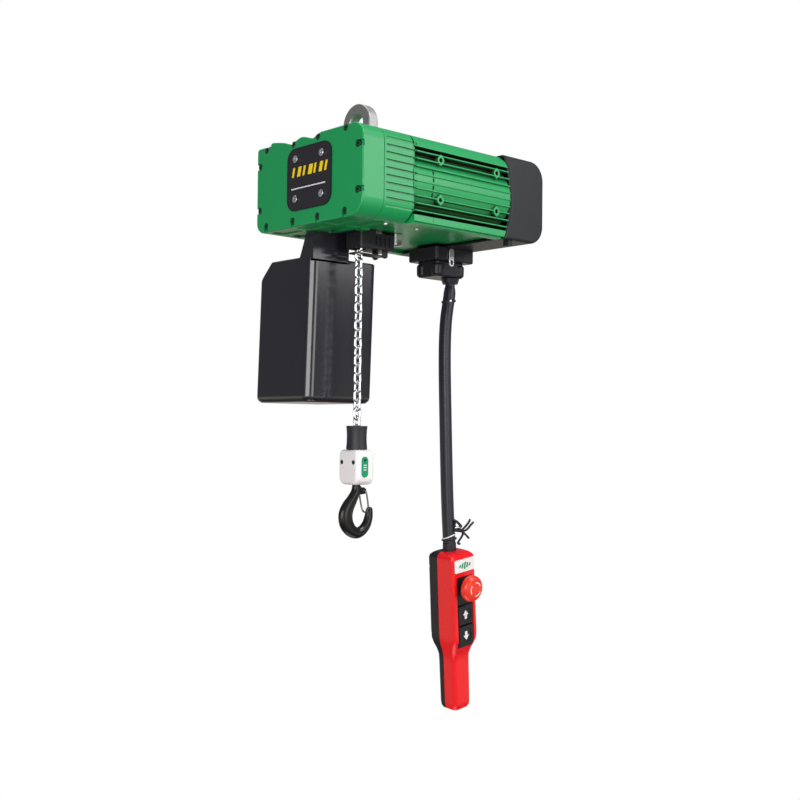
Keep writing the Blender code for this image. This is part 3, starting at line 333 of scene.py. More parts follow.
def combine(target, operation, tools):
    """Applies Booleans to the target and removes the tools."""
    for tool in tools:
        modifier = target.modifiers.new("boolean", "BOOLEAN")
        modifier.operation = operation
        modifier.solver = "EXACT"
        modifier.object = tool
    graph = bpy.context.evaluated_depsgraph_get()
    mesh = bpy.data.meshes.new_from_object(target.evaluated_get(graph))
    target.modifiers.clear()
    old = target.data
    target.data = mesh
    bpy.data.meshes.remove(old)
    for tool in tools:
        bpy.data.objects.remove(tool, do_unlink=True)
    return target


def cut(target, *tools):
    return combine(target, "DIFFERENCE", tools)


def join(target, *tools):
    return combine(target, "UNION", tools)


def gathered(name, pieces):
    """Several meshes as one object, each still a closed body."""
    bm = bmesh.new()
    for piece in pieces:
        bm.from_mesh(piece.data)
        bpy.data.objects.remove(piece, do_unlink=True)
    return linked_mesh(name, bm)


def soften(obj, width, angle):
    """Rounds the edges sharper than an angle in degrees."""
    bevel = obj.modifiers.new("soft_edges", "BEVEL")
    bevel.width, bevel.segments = width * MM, 3
    bevel.limit_method, bevel.angle_limit = "ANGLE", math.radians(angle)


# ---------------------------------------------------------------- materials
def set_inputs(node, values):
    for name, value in values.items():
        node.inputs[name].default_value = value


def added(nodes, kind, values=None, **settings):
    node = nodes.new("ShaderNode" + kind)
    for name, value in settings.items():
        setattr(node, name, value)
    set_inputs(node, values or {})
    return node


def material(name, colour, roughness, grain, mottle=(45, 0.06), metallic=0.0, spread=0.05, coat=0.0,
        level=0.5, ripple=None, gap_shade=None):
    """Procedural finish: cloudy colour and roughness, fine grain, a longer ripple and painted shade in deep
    gaps if asked.

    grain and ripple are (noise scale per metre, height in millimetres); mottle is (scale, share);
    crevice is (depth of the gaps that are painted in shade, in metres; the colour of that painted shade)."""
    made = bpy.data.materials.new(name)
    made.use_nodes = True
    nodes, link = made.node_tree.nodes, made.node_tree.links.new
    shader = nodes["Principled BSDF"]
    set_inputs(shader, {"Metallic": metallic, "Specular IOR Level": level, "Coat Weight": coat,
        "Coat Roughness": COAT_ROUGHNESS})
    place = nodes.new("ShaderNodeTexCoord").outputs["Object"]

    def noise(scale, detail):
        node = added(nodes, "TexNoise", {"Scale": scale, "Detail": detail})
        link(place, node.inputs["Vector"])
        return node.outputs["Fac"]

    cloud, (scale, share) = noise(mottle[0], 5), mottle
    tint = added(nodes, "Mix", {"A": (*[c * (1 - share) for c in colour], 1),
                                "B": (*[min(c * (1 + share), 1) for c in colour], 1)}, data_type="RGBA")
    link(cloud, tint.inputs["Factor"])
    colour_out = tint.outputs["Result"]
    if gap_shade:
        # Painted shade: the less open sky over a point, the more its colour turns to the dark shade colour
        open_sky = added(nodes, "AmbientOcclusion", {"Distance": gap_shade[0]}, samples=8)
        unshaded_share = added(nodes, "MapRange", {"From Min": FULL_SHADE_SKY, "From Max": NO_SHADE_SKY})
        link(open_sky.outputs["AO"], unshaded_share.inputs["Value"])
        shade_mix = added(nodes, "Mix", {"A": (*gap_shade[1], 1)}, data_type="RGBA")
        link(unshaded_share.outputs["Result"], shade_mix.inputs["Factor"])
        link(colour_out, shade_mix.inputs["B"])
        colour_out = shade_mix.outputs["Result"]
    link(colour_out, shader.inputs["Base Color"])
    rough = added(nodes, "MapRange", {"To Min": max(roughness - spread, 0.02),
                                      "To Max": min(roughness + spread, 1.0)})
    link(noise(scale * 4, 6), rough.inputs["Value"])
    link(rough.outputs["Result"], shader.inputs["Roughness"])
    normal = None
    for wave in (ripple, grain):
        if not wave:
            continue
        bump = added(nodes, "Bump", {"Distance": wave[1] * MM})
        link(noise(wave[0], 3), bump.inputs["Height"])
        if normal:
            link(normal, bump.inputs["Normal"])
        normal = bump.outputs["Normal"]
    link(normal, shader.inputs["Normal"])
    return made


# Open sky at and below which the painted gap shade is full, and at and above which there is none
COAT_ROUGHNESS, FULL_SHADE_SKY, NO_SHADE_SKY = 0.08, 0.24, 0.5
LOOKS = {
    # The casting's deep fin gaps get a dark brown painted shade
    "green": material("green_powder_coat", (0.006, 0.30, 0.084), 0.36, (1500, 0.012), (30, 0.05),
                      ripple=(260, 0.02), gap_shade=(0.036, (0.02, 0.010, 0.007))),
    "cap": material("rear_cover_plastic", (0.014, 0.016, 0.019), 0.46, (2600, 0.02), (25, 0.08), level=0.3),
    "plate": material("nameplate_enamel", (0.016, 0.014, 0.02), 0.38, (1800, 0.012)),
    "moulding": material("black_moulding", (0.011, 0.0105, 0.014), 0.36, (2200, 0.03), (60, 0.2),
                         level=0.35),
    "bag": material("blow_moulded_bag", (0.011, 0.010, 0.016), 0.2, (2400, 0.005), ripple=(20, 0.08),
                    spread=0.02, level=0.9),
    "eye": material("forged_eye_steel", (0.36, 0.36, 0.35), 0.46, (700, 0.05), (90, 0.14), 0.85),
    "chain": material("zinc_chain", (0.83, 0.83, 0.86), 0.2, (1600, 0.01), (120, 0.08), 1.0),
    "zinc": material("zinc_plate", (0.72, 0.72, 0.74), 0.3, (1800, 0.012), (150, 0.08), 1.0),
    "cover_bolt": material("painted_cover_bolt", (0.006, 0.045, 0.02), 0.4, (1600, 0.02)),
    "latch": material("latch_wire", (0.22, 0.22, 0.22), 0.34, (1600, 0.02), metallic=0.9),
    "bolt": material("blackened_bolt", (0.03, 0.03, 0.032), 0.36, (1600, 0.02), metallic=0.5),
    "hook": material("painted_hook", (0.006, 0.006, 0.007), 0.28, (420, 0.04), (70, 0.2),
                     ripple=(90, 0.08), level=0.3, coat=0.12),
    "rubber": material("rubber", (0.011, 0.010, 0.017), 0.5, (1500, 0.05), (90, 0.15)),
    "jacket": material("cable_jacket", (0.012, 0.0115, 0.02), 0.4, (1300, 0.03), (80, 0.18)),
    "white": material("white_moulding", (0.86, 0.825, 0.835), 0.34, (1700, 0.015), (60, 0.03)),
    "red": material("red_moulding", (0.86, 0.006, 0.011), 0.28, (2200, 0.006), (50, 0.03), spread=0.015),
    "stop": material("stop_button_red", (0.85, 0.035, 0.016), 0.27, (2000, 0.01), (60, 0.05)),
    "mark_green": material("green_mark", (0.006, 0.28, 0.13), 0.22, (1500, 0.01), (90, 0.12)),
    "mark_white": material("white_mark", (0.82, 0.82, 0.82), 0.4, (1500, 0.008), (90, 0.03)),
    "mark_yellow": material("yellow_mark", (0.92, 0.66, 0.0), 0.4, (1500, 0.01), (200, 0.05)),
    "steel": material("machined_steel", (0.5, 0.5, 0.5), 0.32, (1400, 0.02), (120, 0.1), 1.0),
    "copper": material("enamelled_winding", (0.55, 0.2, 0.08), 0.36, (900, 0.15), (300, 0.2), 0.9),
    "board": material("circuit_board", (0.015, 0.14, 0.05), 0.45, (900, 0.05), (250, 0.25)),
}
# The record's slot for each look, unless a piece names another
USUAL_SLOTS = {look: slot for slot, looks in {
    "green_paint": ("green",), "black_plastic": ("cap", "plate", "moulding", "mark_yellow"),
    "black_gloss": ("bag",), "steel": ("eye",), "zinc": ("chain", "zinc", "latch"),
    "dark_steel": ("cover_bolt", "bolt", "hook"), "rubber": ("rubber", "jacket"),
    "white_plastic": ("white", "mark_green", "mark_white"), "red_plastic": ("red", "stop"),
}.items() for look in looks}
EDGE_ANGLE = math.radians(38)


def dress(obj, look, *replaced, body="hoist_body", slot=None, ride=True):
    """Gives a piece its finish, shading and body, and hides the nodes that it stands for."""
    obj.data.materials.clear()
    obj.data.materials.append(LOOKS[look])
    obj.data.shade_smooth()
    obj.data.set_sharp_from_angle(angle=EDGE_ANGLE)
    normals = obj.modifiers.new("normals", "WEIGHTED_NORMAL")
    normals.keep_sharp = True
    if ride:
        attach(obj, body)
    slot or USUAL_SLOTS[look]
    if replaced:
        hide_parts(*replaced)
    return obj


# ---------------------------------------------------------------- castings
def body_outline(amount=0.0, side_amount=None):
    """Cross section of the castings in the YZ plane, seen along +X."""
    side = amount if side_amount is None else side_amount
    radii = [max(radius - amount, 2.0) for radius in (NEAR_BASE_R, FAR_BASE_R, FAR_TOP_R, NEAR_TOP_R)]
    return rounded((-SIDE + side, BASE + amount), (SIDE - side, TOP - amount), radii, 10)


def cover_outline():
    """The same outline with the lobes of the front cover along its top edge."""
    points = body_outline()
    lobes = [tuple(p) for p in smooth([(distance - SIDE, TOP + step) for distance, step in LOBES], 5)]
    last_far = max(i for i, (u, v) in enumerate(points) if u > 0)
    return points[:last_far + 1] + lobes + points[last_far + 1:]


def cap_screw(name, axis, centre, outer, seat, radius, look, *replaced, body="hoist_body"):
    """Head of a cap screw: a softened rim and a hexagon socket."""
    way = 1 if seat > outer else -1
    profile = softened([(outer, 0), (outer, radius), (seat, radius), (seat, 0)], radius * 0.2)
    head = turned(name, profile, axis, centre, 28)
    depth = outer + way * 0.62 * abs(seat - outer)
    socket = prism("socket", circle(centre, radius * 0.52, 6), axis, *sorted((outer - way * 2, depth)))
    return dress(cut(head, socket), look, *replaced, body=body)


def front_cover():
    cover = prism("front_cover_casting", cover_outline(), "X", FRONT, COVER_REAR, (2.6, 1.2), 4)
    cuts = [prism("cavity", body_outline(COVER_RIM, COVER_SIDE_RIM), "X", FRONT + COVER_WALL, COVER_REAR + 5)]
    groups = ((SCREWS_BELOW, (0, -1)), (SCREWS_ABOVE, (0, 1)), (SCREWS_NEAR, (-1, 0)), (SCREWS_FAR, (1, 0)))
    number = 0
    for places, (side, rise) in groups:
        for distance, height in places:
            number += 1
            y, z = distance - SIDE, BASE + height
            reach, half = 14, 5.0
            steps = [(FRONT - 1, 0), (FRONT - 1, 6.2), (FRONT + 6, 5.8), (FRONT + 6, 0)]
            cuts.append(turned("pocket", steps, "X", (y, z), 28))
            across = (half if rise else 0, half if side else 0)
            low = (min(y, y + side * reach) - across[0], min(z, z + rise * reach) - across[1])
            high = (max(y, y + side * reach) + across[0], max(z, z + rise * reach) + across[1])
            cuts.append(block("way_out", (FRONT - 1, *low), (FRONT + 3.4, *high)))
            replaced = [f"cover_screw_{number}"] if places is SCREWS_BELOW else []
            cap_screw(f"cover_cap_screw_{number}", "X", (y, z), FRONT + 0.6, FRONT + 6, 4.9, "cover_bolt",
                *replaced)
    cuts += [slab("relief", "Z", low, high, 6, BASE - 1, BASE + 2.2) for low, high in COVER_RELIEFS]
    dress(cut(cover, *cuts), "green", "gearbox_cover")


def floor_y(height):
    """How far out the casting's wall lies between the fins."""
    rise = min(abs(height - MIDDLE), FLOOR_RADIUS - 12)
    return FLOOR_CENTRE + math.sqrt(FLOOR_RADIUS ** 2 - rise ** 2)


def finned_side():
    """One side of the motor casting, from its underside to its top fillet, as (y, z)."""
    soft = 0.5
    points = [(SIDE - RAIL_WIDTH, BASE + UNDERSIDE_RISE), (SIDE - RAIL_WIDTH, BASE + soft),
        (SIDE - RAIL_WIDTH + soft, BASE), (SIDE - 6 - soft, BASE), (SIDE - 6, BASE + soft),
        (SIDE - 6, BASE + RAIL_LOW), (SIDE - soft, BASE + RAIL_LOW), (SIDE, BASE + RAIL_LOW + soft),
        (SIDE, BASE + RAIL_HIGH - soft), (SIDE - soft, BASE + RAIL_HIGH)]
    low = BASE + RAIL_HIGH
    for index in range(FINS):
        height = BASE + 21 + FIN_PITCH * index
        under, over = height - FIN_HALF, height + FIN_HALF
        points += [(floor_y(z), z) for z in (low + (under - low) * k / 4 for k in range(5))]
        points += [(SIDE - soft, under), (SIDE, under + soft), (SIDE, over - soft), (SIDE - soft, over)]
        low = over
    band = TOP - NEAR_TOP_R + 3
    points += [(floor_y(low), low), (floor_y(band), band), (SIDE - soft, band)]
    return points + arc((SIDE - NEAR_TOP_R, TOP - NEAR_TOP_R), NEAR_TOP_R, 9, 90, 12)


def finned_outline():
    side = finned_side()
    return side + [(-y, z) for y, z in reversed(side)]


def gearbox_casting():
    housing = prism("gearbox_casting", body_outline(), "X", HOUSING_FRONT, RIBBED_REAR, 1.0)
    neck = prism("neck", body_outline(4.0), "X", RIBBED_REAR - 3, NECK_REAR + 3)
    finned = prism("finned", finned_outline(), "X", NECK_REAR, HOUSING_REAR, 0.4, 2)
    join(housing, neck, finned)
    cuts = []
    for index in range(GROOVES):
        height = FIRST_GROOVE + GROOVE_PITCH * index
        outline = rounded((GROOVE_FRONT, height - GROOVE_WIDTH / 2),
            (RIBBED_REAR + 8, height + GROOVE_WIDTH / 2), 1.7)
        cuts += [sided("groove", outline, side, SIDE - GROOVE_DEPTH, SIDE + 2) for side in (-1, 1)]
    cuts.append(block("wheel_chamber", (-26, -16, BASE - 1), (26, 66, -72)))
    for low_y, high_y in ((80, 122), (-122, -92)):
        cuts.append(block("pocket", (-50, low_y, -168), (HOUSING_REAR + 1, high_y, -58)))
    cuts += [slab("relief", "Z", low, high, 5, BASE - 1, BASE + 3) for low, high in GUIDE_RELIEFS]
    dress(cut(housing, *cuts), "green", "gearbox_housing")
    for index, centre in enumerate(UNDERSIDE_SCREWS, 1):
        cap_screw(f"underside_screw_{index}", "Z", centre, BASE - 3.2, BASE + 0.4, 3.6, "zinc")


def boss_outline(x, z):
    """Round boss with a short pointed web above and below."""
    right = arc((x, z), BOSS_R, -58, 58, 12)
    left = arc((x, z), BOSS_R, 122, 238, 12)
    return right + [(x, z + BOSS_R * 1.3)] + left + [(x, z - BOSS_R * 1.3)]


def motor_casting():
    start = MOTOR_BOX[0].x
    housing = prism("motor_casting", finned_outline(), "X", start, REAR_ARC_X + REAR_ARC_R, (0.4, 0), 2)
    bosses, cuts = [], []
    for side in (-1, 1):
        for x in BOSS_X:
            for z in BOSS_Z:
                bosses.append(sided("boss", boss_outline(x, z), side, SIDE - BOSS_DEPTH, SIDE + 0.2, 0.7, 2))
                face = side * (SIDE + 0.2)
                profile = [(face + side, 0), (face + side, BOSS_HOLE_R + 1.8),
                    (face - side * 0.8, BOSS_HOLE_R), (face - side * 12, BOSS_HOLE_R), (face - side * 12, 0)]
                cuts.append(turned("hole", profile, "Y", (x, z), 24))
    join(housing, *bosses)
    arch = arc((REAR_ARC_X, MIDDLE), REAR_ARC_R, -32, 32, 40)
    beyond = [(REAR, arch[-1][1]), (REAR, arch[0][1])]
    cuts.append(prism("rear_cut", arch + beyond, "Y", -SIDE - 5, SIDE + 5))
    stadium = arc((FLOOR_CENTRE, MIDDLE), CAVITY_RADIUS, -90, 90, 20)
    stadium += arc((-FLOOR_CENTRE, MIDDLE), CAVITY_RADIUS, 90, 270, 20)
    cuts.append(prism("cavity", stadium, "X", start - 1, REAR))
    for gap in range(2, 6):
        middle = BASE + 21 + FIN_PITCH * (gap + 0.5)
        for side in (-1, 1):
            low, high = sorted((side * (floor_y(middle) - 4), side * (SIDE - 1.5)))
            cuts.append(block("notch", (start - 1, low, middle - 3.2), (start + 2.6, high, middle + 3.2)))
    dress(cut(housing, *cuts), "green", "motor_housing")


def rear_outline(amount, front_radius):
    """Side view of the rear cover: hollow front edge, two rounded rear corners."""
    low, high, rear = BASE + amount, TOP - amount, REAR - amount
    radius = REAR_EDGE_R - amount
    reach = math.degrees(math.asin((high - MIDDLE) / front_radius))
    front = arc((REAR_ARC_X, MIDDLE), front_radius, reach, -reach, 40)
    lower = arc((rear - radius, low + radius), radius, 270, 360, 14)
    upper = arc((rear - radius, high - radius), radius, 0, 90, 14)
    return front + lower + upper


def rear_cover():
    cover = prism("rear_cover_shell", rear_outline(0, REAR_ARC_R + 0.5), "Y", -SIDE, SIDE, 5.0, 5)
    inside = prism("inside", rear_outline(REAR_WALL, REAR_ARC_R - 30), "Y", -SIDE + REAR_WALL,
        SIDE - REAR_WALL)
    foot = slab("foot", "Z", (231, -134), (241, -119), 2.5, BASE - 9, BASE + 2, 1.0)
    hollow = cut(cover, inside)
    dress(join(hollow, foot), "cap", "rear_cover")


def nameplate():
    low, high = PLATE_BOX
    outline = rounded((-64.5, -159), (51, -54.5), 20, 12)
    plate = prism("nameplate_panel", outline, "X", low.x + 0.4, high.x, (0.6, 0.2))
    face = low.x + 0.4
    holes = [cylinder("hole", "X", centre, face - 4, high.x + 2, 2.8, 20) for centre in PLATE_SCREWS]
    dress(cut(plate, *holes), "plate", "nameplate")
    rim = prism("nameplate_rim", outline, "X", low.x, face + 0.9, (0.35, 0.1), 2)
    inner = prism("inner", inset(outline, 1.7), "X", low.x - 2, face + 3)
    dress(cut(rim, inner), "cap")
    for number, centre in enumerate(PLATE_SCREWS, 1):
        cap_screw(f"nameplate_cap_screw_{number}", "X", centre, low.x - 2.6, low.x + 0.3, 6.0, "zinc",
            f"nameplate_screw_{number}")
    # A generic motif: slanted bars of rising and falling width over a thin white line
    bars = []
    for index, width in enumerate((5, 8, 5, 10, 5, 8, 5)):
        y = 38 - 14.2 * index
        z = -95
        outline = [(y, z - 8), (y - width, z - 8), (y - width - 4, z + 8), (y - 4, z + 8)]
        bars.append(prism("bar", outline, "X", face - 0.35, face + 0.2))
    dress(gathered("nameplate_motif", bars), "mark_yellow")
    line = block("nameplate_line", (face - 0.3, -50, -123.2), (face + 0.2, 39, -121.4))
    dress(line, "mark_white", slot="black_plastic")


def suspension_eye():
    base_top = TOP + 9
    lug = arc((0, 0), EYE_R, 0, 180, 48) + [(-EYE_R, base_top - 2), (EYE_R, base_top - 2)]
    eye = prism("suspension_eye_forging", lug, "X", -10, 10, 2.4, 4)
    base = slab("base", "Z", (-24, -46), (24, 46), 4, TOP + 0.3, base_top, (0, 1.6))
    shank = cylinder("shank", "Z", (0, 0), -65, TOP + 3, 10)
    profile = [(-15, 0), (-15, EYE_HOLE_R + 7), (-10, EYE_HOLE_R + 2), (-8, EYE_HOLE_R), (8, EYE_HOLE_R),
        (10, EYE_HOLE_R + 2), (15, EYE_HOLE_R + 7), (15, 0)]
    hole = turned("hole", profile, "X", (0, 0), 56)
    dress(cut(join(eye, base, shank), hole), "eye", "suspension_eye")


# ---------------------------------------------------------------- underside
def chain_guide():
    guide = prism("chain_guide_block", rounded((-25.7, -15.7), (25.7, 65.7), 1.0, 2), "Z", BASE - 0.2,
        BASE + 18, 0.6)
    lower = slab("lower", "Z", (-13, -21), (64, 21), 4, BASE - 27.6, BASE - 0.3, (2.0, 0.3))
    core = block("core", (-12, -14, BASE - 5), (25, 14, BASE + 5))
    ear = rounded((42, BASE - 40), (54, BASE - 26), (5.5, 5.5, 1, 1))
    ears = [sided("ear", ear, side, 11, 14, 0.5) for side in (-1, 1)]
    join(guide, core, lower, *ears)
    load_hole = slab("load_hole", "Z", (-10.5, -10.5), (10.5, 10.5), 3, BASE - 45, BASE + 20)
    slack_hole = slab("slack_hole", "Z", (-10.5, 38.3), (10.5, 59.3), 3, BASE - 5, BASE + 20)
    ribs = [block("rib_gap", (x, -23, BASE - 22), (x + 4, -19.6, BASE - 5)) for x in (18, 28, 38, 48)]
    dress(cut(guide, load_hole, slack_hole, *ribs), "moulding", "chain_guide")
    bracket = slab("guide_bracket", "Z", (66, -19), (86, 19), 3, BASE - 14, BASE + 5.6, 1.0)
    slot = slab("slot", "Z", (71, -30), (81, 30), 2, BASE - 20, BASE - 5)
    dress(cut(bracket, slot), "zinc")


def limit_lever():
    low, high = size("limit_switch_lever")
    lever = slab("limit_lever_plate", "Z", (low.x, low.y), (high.x, high.y), 4, low.z, high.z, 0.6)
    opening = slab("opening", "Z", (-11, -9.2), (12, 9.2), 4, low.z - 8, high.z + 8)
    dress(cut(lever, opening), "bolt", "limit_switch_lever", body="limit_switch_lever", slot="zinc")


def hung_askew(obj):
    """Shifts what lies below the bag's hanger along with the bag."""
    for vertex in obj.data.vertices:
        drop = max(BAG_HANGER_Z * MM - vertex.co.z, 0)
        vertex.co.x += BAG_LEAN[0] * drop
        vertex.co.y += BAG_LEAN[1] * drop
    return obj


def neck_section(z, bend, wall=0.0):
    side_y, rear_x = bend
    outline = [(BAG_X[0], NECK_NEAR), (NECK_SIDE - 21, NECK_NEAR), (NECK_SIDE, NECK_NEAR + 23),
        (NECK_SIDE, NECK_FAR), (rear_x, NECK_FAR), (BAG_X[0], side_y)]
    return [(u, v, z) for u, v in inset(outline, wall)]


def bag_corner(wall):
    """Corner cut off the bag's far top edge, as (y, z)."""
    top, step = BAG_Z[1] - wall, BAG_CHAMFER + wall * 0.5
    return [(BAG_Y[1] - step, top + wall + 1), (BAG_Y[1] + 1, top + wall - step),
        (BAG_Y[1] + 1, top + wall + 1)]


def chain_bag():
    outline = rounded((BAG_X[0], BAG_Y[0]), (BAG_X[1], BAG_Y[1]), BAG_CORNER_R, 14)
    bag = prism("chain_bag_shell", outline, "Z", *BAG_Z, (11.0, 3.0), 7)
    cut(bag, prism("chamfer", bag_corner(0), "X", BAG_X[0] - 1, BAG_X[1] + 1))
    top = BASE - 0.3
    wide, narrow = NECK_BENDS
    neck = skin("neck", [neck_section(BAG_Z[1] - 5, wide), neck_section(top, narrow)])
    tab = slab("tab", "Z", (BAG_BOLT[0] - 14, 67), (BAG_BOLT[0] + 9, 88), 4, BASE - 6, top, (0.8, 0.3))
    join(bag, neck, tab)
    low = [side[0] + BAG_WALL for side in (BAG_X, BAG_Y)]
    high = [side[1] - BAG_WALL for side in (BAG_X, BAG_Y)]
    inside = prism("inside", rounded(low, high, 12, 8), "Z", BAG_Z[0] + BAG_WALL, BAG_Z[1] - BAG_WALL)
    cut(inside, prism("chamfer", bag_corner(BAG_WALL), "X", BAG_X[0] - 1, BAG_X[1] + 1))
    throat = skin("throat", [neck_section(BAG_Z[1] - 8, wide, NECK_WALL),
        neck_section(BASE + 2, narrow, NECK_WALL)])
    bolt_hole = cylinder("bolt_hole", "Z", BAG_BOLT, BASE - 10, BASE + 2, 3.3, 20)
    cut(bag, inside, throat, bolt_hole)
    soften(bag, 1.2, 40)
    dress(hung_askew(bag), "bag", "chain_bag")
    cap_screw("bag_hanger_cap_screw", "Z", BAG_BOLT, BASE - 11, BASE - 6.3, 6.0, "bolt", "bag_hanger_bolt")


def link_path(steps):
    """Centre line of a chain link, standing in a plane as (across, along)."""
    reach, straight = LINK_WIDTH / 2 - WIRE_R, CHAIN_PITCH / 2 + WIRE_R - (LINK_WIDTH / 2 - WIRE_R)
    return arc((0, straight), reach, 0, 180, steps) + arc((0, -straight), reach, 180, 360, steps)


def load_chain():
    lowest = PIN_Z + (CHAIN_PITCH - 0.5) / 2 - 2.8
    links = []
    for index in range(LINKS):
        centre = lowest + CHAIN_PITCH * index
        path = [((u, 0, centre + v) if index % 2 else (0, u, centre + v)) for u, v in link_path(10)]
        links.append(tube("link", path, WIRE_R, 12, closed=True))
    # The links inside the block and the buffer ride with them
    dress(gathered("load_chain_end_links", links[:HELD_LINKS]), "chain", body="hook_block")
    chain = dress(gathered("load_chain_links", links[HELD_LINKS:]), "chain", "load_chain")
    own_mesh(chain)


def stored_chain():
    """Spare chain lying in loose turns on the floor of the bag."""
    low, high = size("stored_chain")
    centre, random_turn = (low + high) / 2, random.Random(7)
    links = []
    for layer, (radius_x, radius_y, count) in enumerate(STORED_LAYERS):
        z = low.z + 5 + 6.2 * layer
        for index in range(count):
            angle = 2 * math.pi * index / count
            spot = Vector((centre.x + radius_x * math.cos(angle), centre.y + radius_y * math.sin(angle), z))
            along = Vector((-radius_x * math.sin(angle), radius_y * math.cos(angle), 0)).normalized()
            lean = (45 if index % 2 else -45) + random_turn.uniform(-8, 8)
            side = Matrix.Rotation(math.radians(lean), 3, along) @ along.cross(Vector((0, 0, 1)))
            path = [spot + side * u + along * v for u, v in link_path(6)]
            links.append(tube("link", path, WIRE_R, 8, closed=True))
    dress(gathered("stored_chain_links", links), "chain", "stored_chain")


# ---------------------------------------------------------------- hook side
def hook_block():
    core = [(BLOCK_LOW - 1, 0), (BLOCK_LOW - 1, 8.4), (BLOCK_LOW + 9, 8.4), (BLOCK_LOW + 9, 14.5),
        (BLOCK_LOW + 27, 14.5), (BLOCK_LOW + 27, 9.8), (BLOCK_HIGH + 1, 9.8), (BLOCK_HIGH + 1, 0)]
    outline = rounded((-BLOCK_Y, BLOCK_LOW), (BLOCK_Y, BLOCK_HIGH), (13, 13, 9, 9), 10)
    for name, side in (("hook_block_front", -1), ("hook_block_rear", 1)):
        low, high = sorted((side * 0.2, side * BLOCK_X))
        edges = (6.5, 0.5) if side < 0 else (0.5, 6.5)
        half = prism(f"{name}_shell", outline, "X", low, high, edges, 6)
        cuts = [turned("core", core, "Z", (0, 0), 32)]
        if side < 0:
            cuts += [cylinder("counterbore", "X", centre, -BLOCK_X - 1, -BLOCK_X + 3.4, 3.9, 24)
                for centre in BLOCK_SCREWS]
        dress(cut(half, *cuts), "white", name, body="hook_block")
    for number, centre in enumerate(BLOCK_SCREWS, 1):
        cap_screw(f"block_cap_screw_{number}", "X", centre, -BLOCK_X - 0.2, -BLOCK_X + 3, 3.7, "bolt",
            f"block_screw_{number}", body="hook_block")
    face = -BLOCK_Y
    badge = prism("block_badge_rim", rounded((-12.2, -601.5), (6.2, -562.5), 9.1, 12), "Y", face - 0.6,
        face + 0.5, (0.4, 0))
    dress(badge, "mark_white", body="hook_block")
    badge = prism("block_badge", rounded((-10.4, -599.7), (4.4, -564.3), 7.3, 12), "Y", face - 1.5,
        face - 0.3, (0.8, 0), 4)
    dress(badge, "mark_green", body="hook_block")
    dot = cylinder("block_badge_dot", "Y", (-3, -570.4), face - 1.8, face - 1.2, 2.6, 24, 0.2)
    dress(dot, "bolt", body="hook_block", slot="white_plastic")
    bars = [prism("bar", rounded((-6.5, z - 0.7), (0.5, z + 0.7), 0.6, 3), "Y", face - 1.7, face - 1.2)
        for z in (-579, -583, -587)]
    dress(gathered("block_badge_bars", bars), "mark_white", body="hook_block")
    low, high = size("chain_buffer")
    profile = [(low.z, 9.8), (low.z, 17.6), (low.z + 2.4, 18), (low.z + 9, 17.3),
        ((low.z + high.z) / 2, 16.9), (high.z - 9, 17.3), (high.z - 2.4, 18), (high.z - 0.6, 17.4),
        (high.z - 1.6, 15), (high.z - 1.6, 9.8)]
    profile = [profile[0]] + [tuple(p) for p in smooth(profile[1:-2], 4)] + profile[-2:]
    dress(turned("chain_buffer_rubber", profile, "Z", (0, 0), 48, hollow=True), "rubber", "chain_buffer",
        body="hook_block")


def hook():
    # x, z, half width in the plane of the hook, half thickness across it
    path = [(0, -588.5, 6.3, 6.3), (0, -605, 6.4, 6.4), (0, -616, 7.2, 7.0), (-2, -626, 8.2, 7.4),
        (-9, -638, 10, 7.8), (-17.5, -650, 12.3, 8.3), (-22.5, -663, 14, 8.5), (-20.5, -677, 13.6, 8.5),
        (-11, -689, 11.5, 8.3), (2, -694.2, 9.6, 8.0), (14, -690.5, 9, 7.6), (23.5, -681, 8.5, 7.2),
        (28.3, -669, 7.8, 6.6), (29.8, -658, 6.5, 5.6), (29.9, -653, 4.9, 4.4), (29.9, -651.2, 2.4, 2.2)]
    fine = smooth(path, 5)
    sides, rings = 28, []
    for i, (x, z, half, thick) in enumerate(fine):
        before, after = fine[max(i - 1, 0)], fine[min(i + 1, len(fine) - 1)]
        along = Vector((after[0] - before[0], 0, after[1] - before[1])).normalized()
        across = Vector((along.z, 0, -along.x))
        ring = []
        for k in range(sides):
            t = 2 * math.pi * k / sides
            # The bowl is thicker on its inner side, as on a forged hook
            swell = 1 + 0.1 * math.cos(t) * min(max((half - 8) / 4, 0), 1)
            ring.append(Vector((x, 0, z)) + across * half * math.cos(t)
                + Vector((0, thick * swell * math.sin(t), 0)))
        rings.append(ring)
    body = skin("hook_forging", rings)
    ear_outline = arc(LATCH_PIVOT, 6.0, -60, 120, 14) + [(4, -612), (2, -630)]
    ear = prism("ear", ear_outline, "Y", -4, 4, 1.0)
    pin_hole = cylinder("pin_hole", "Y", LATCH_PIVOT, -8, 8, 2.1, 20)
    dress(cut(join(body, ear), pin_hole), "hook", "hook", body="hook")
    x, z = LATCH_PIVOT
    near = [(x, -4.8, z), (x, -7.4, z - 0.3), (x + 0.8, -9.4, z - 3), (x + 4, -9.6, z - 18),
        (x + 6, -8.6, z - 29), (x + 6.3, -5.5, z - 34.5), (x + 6.3, -2, z - 36.2)]
    wire = smooth(near + [(px, -py, pz) for px, py, pz in reversed(near)], 5)
    dress(tube("hook_latch_wire", wire, 1.5, 12), "latch", "hook_latch", body="hook_latch")


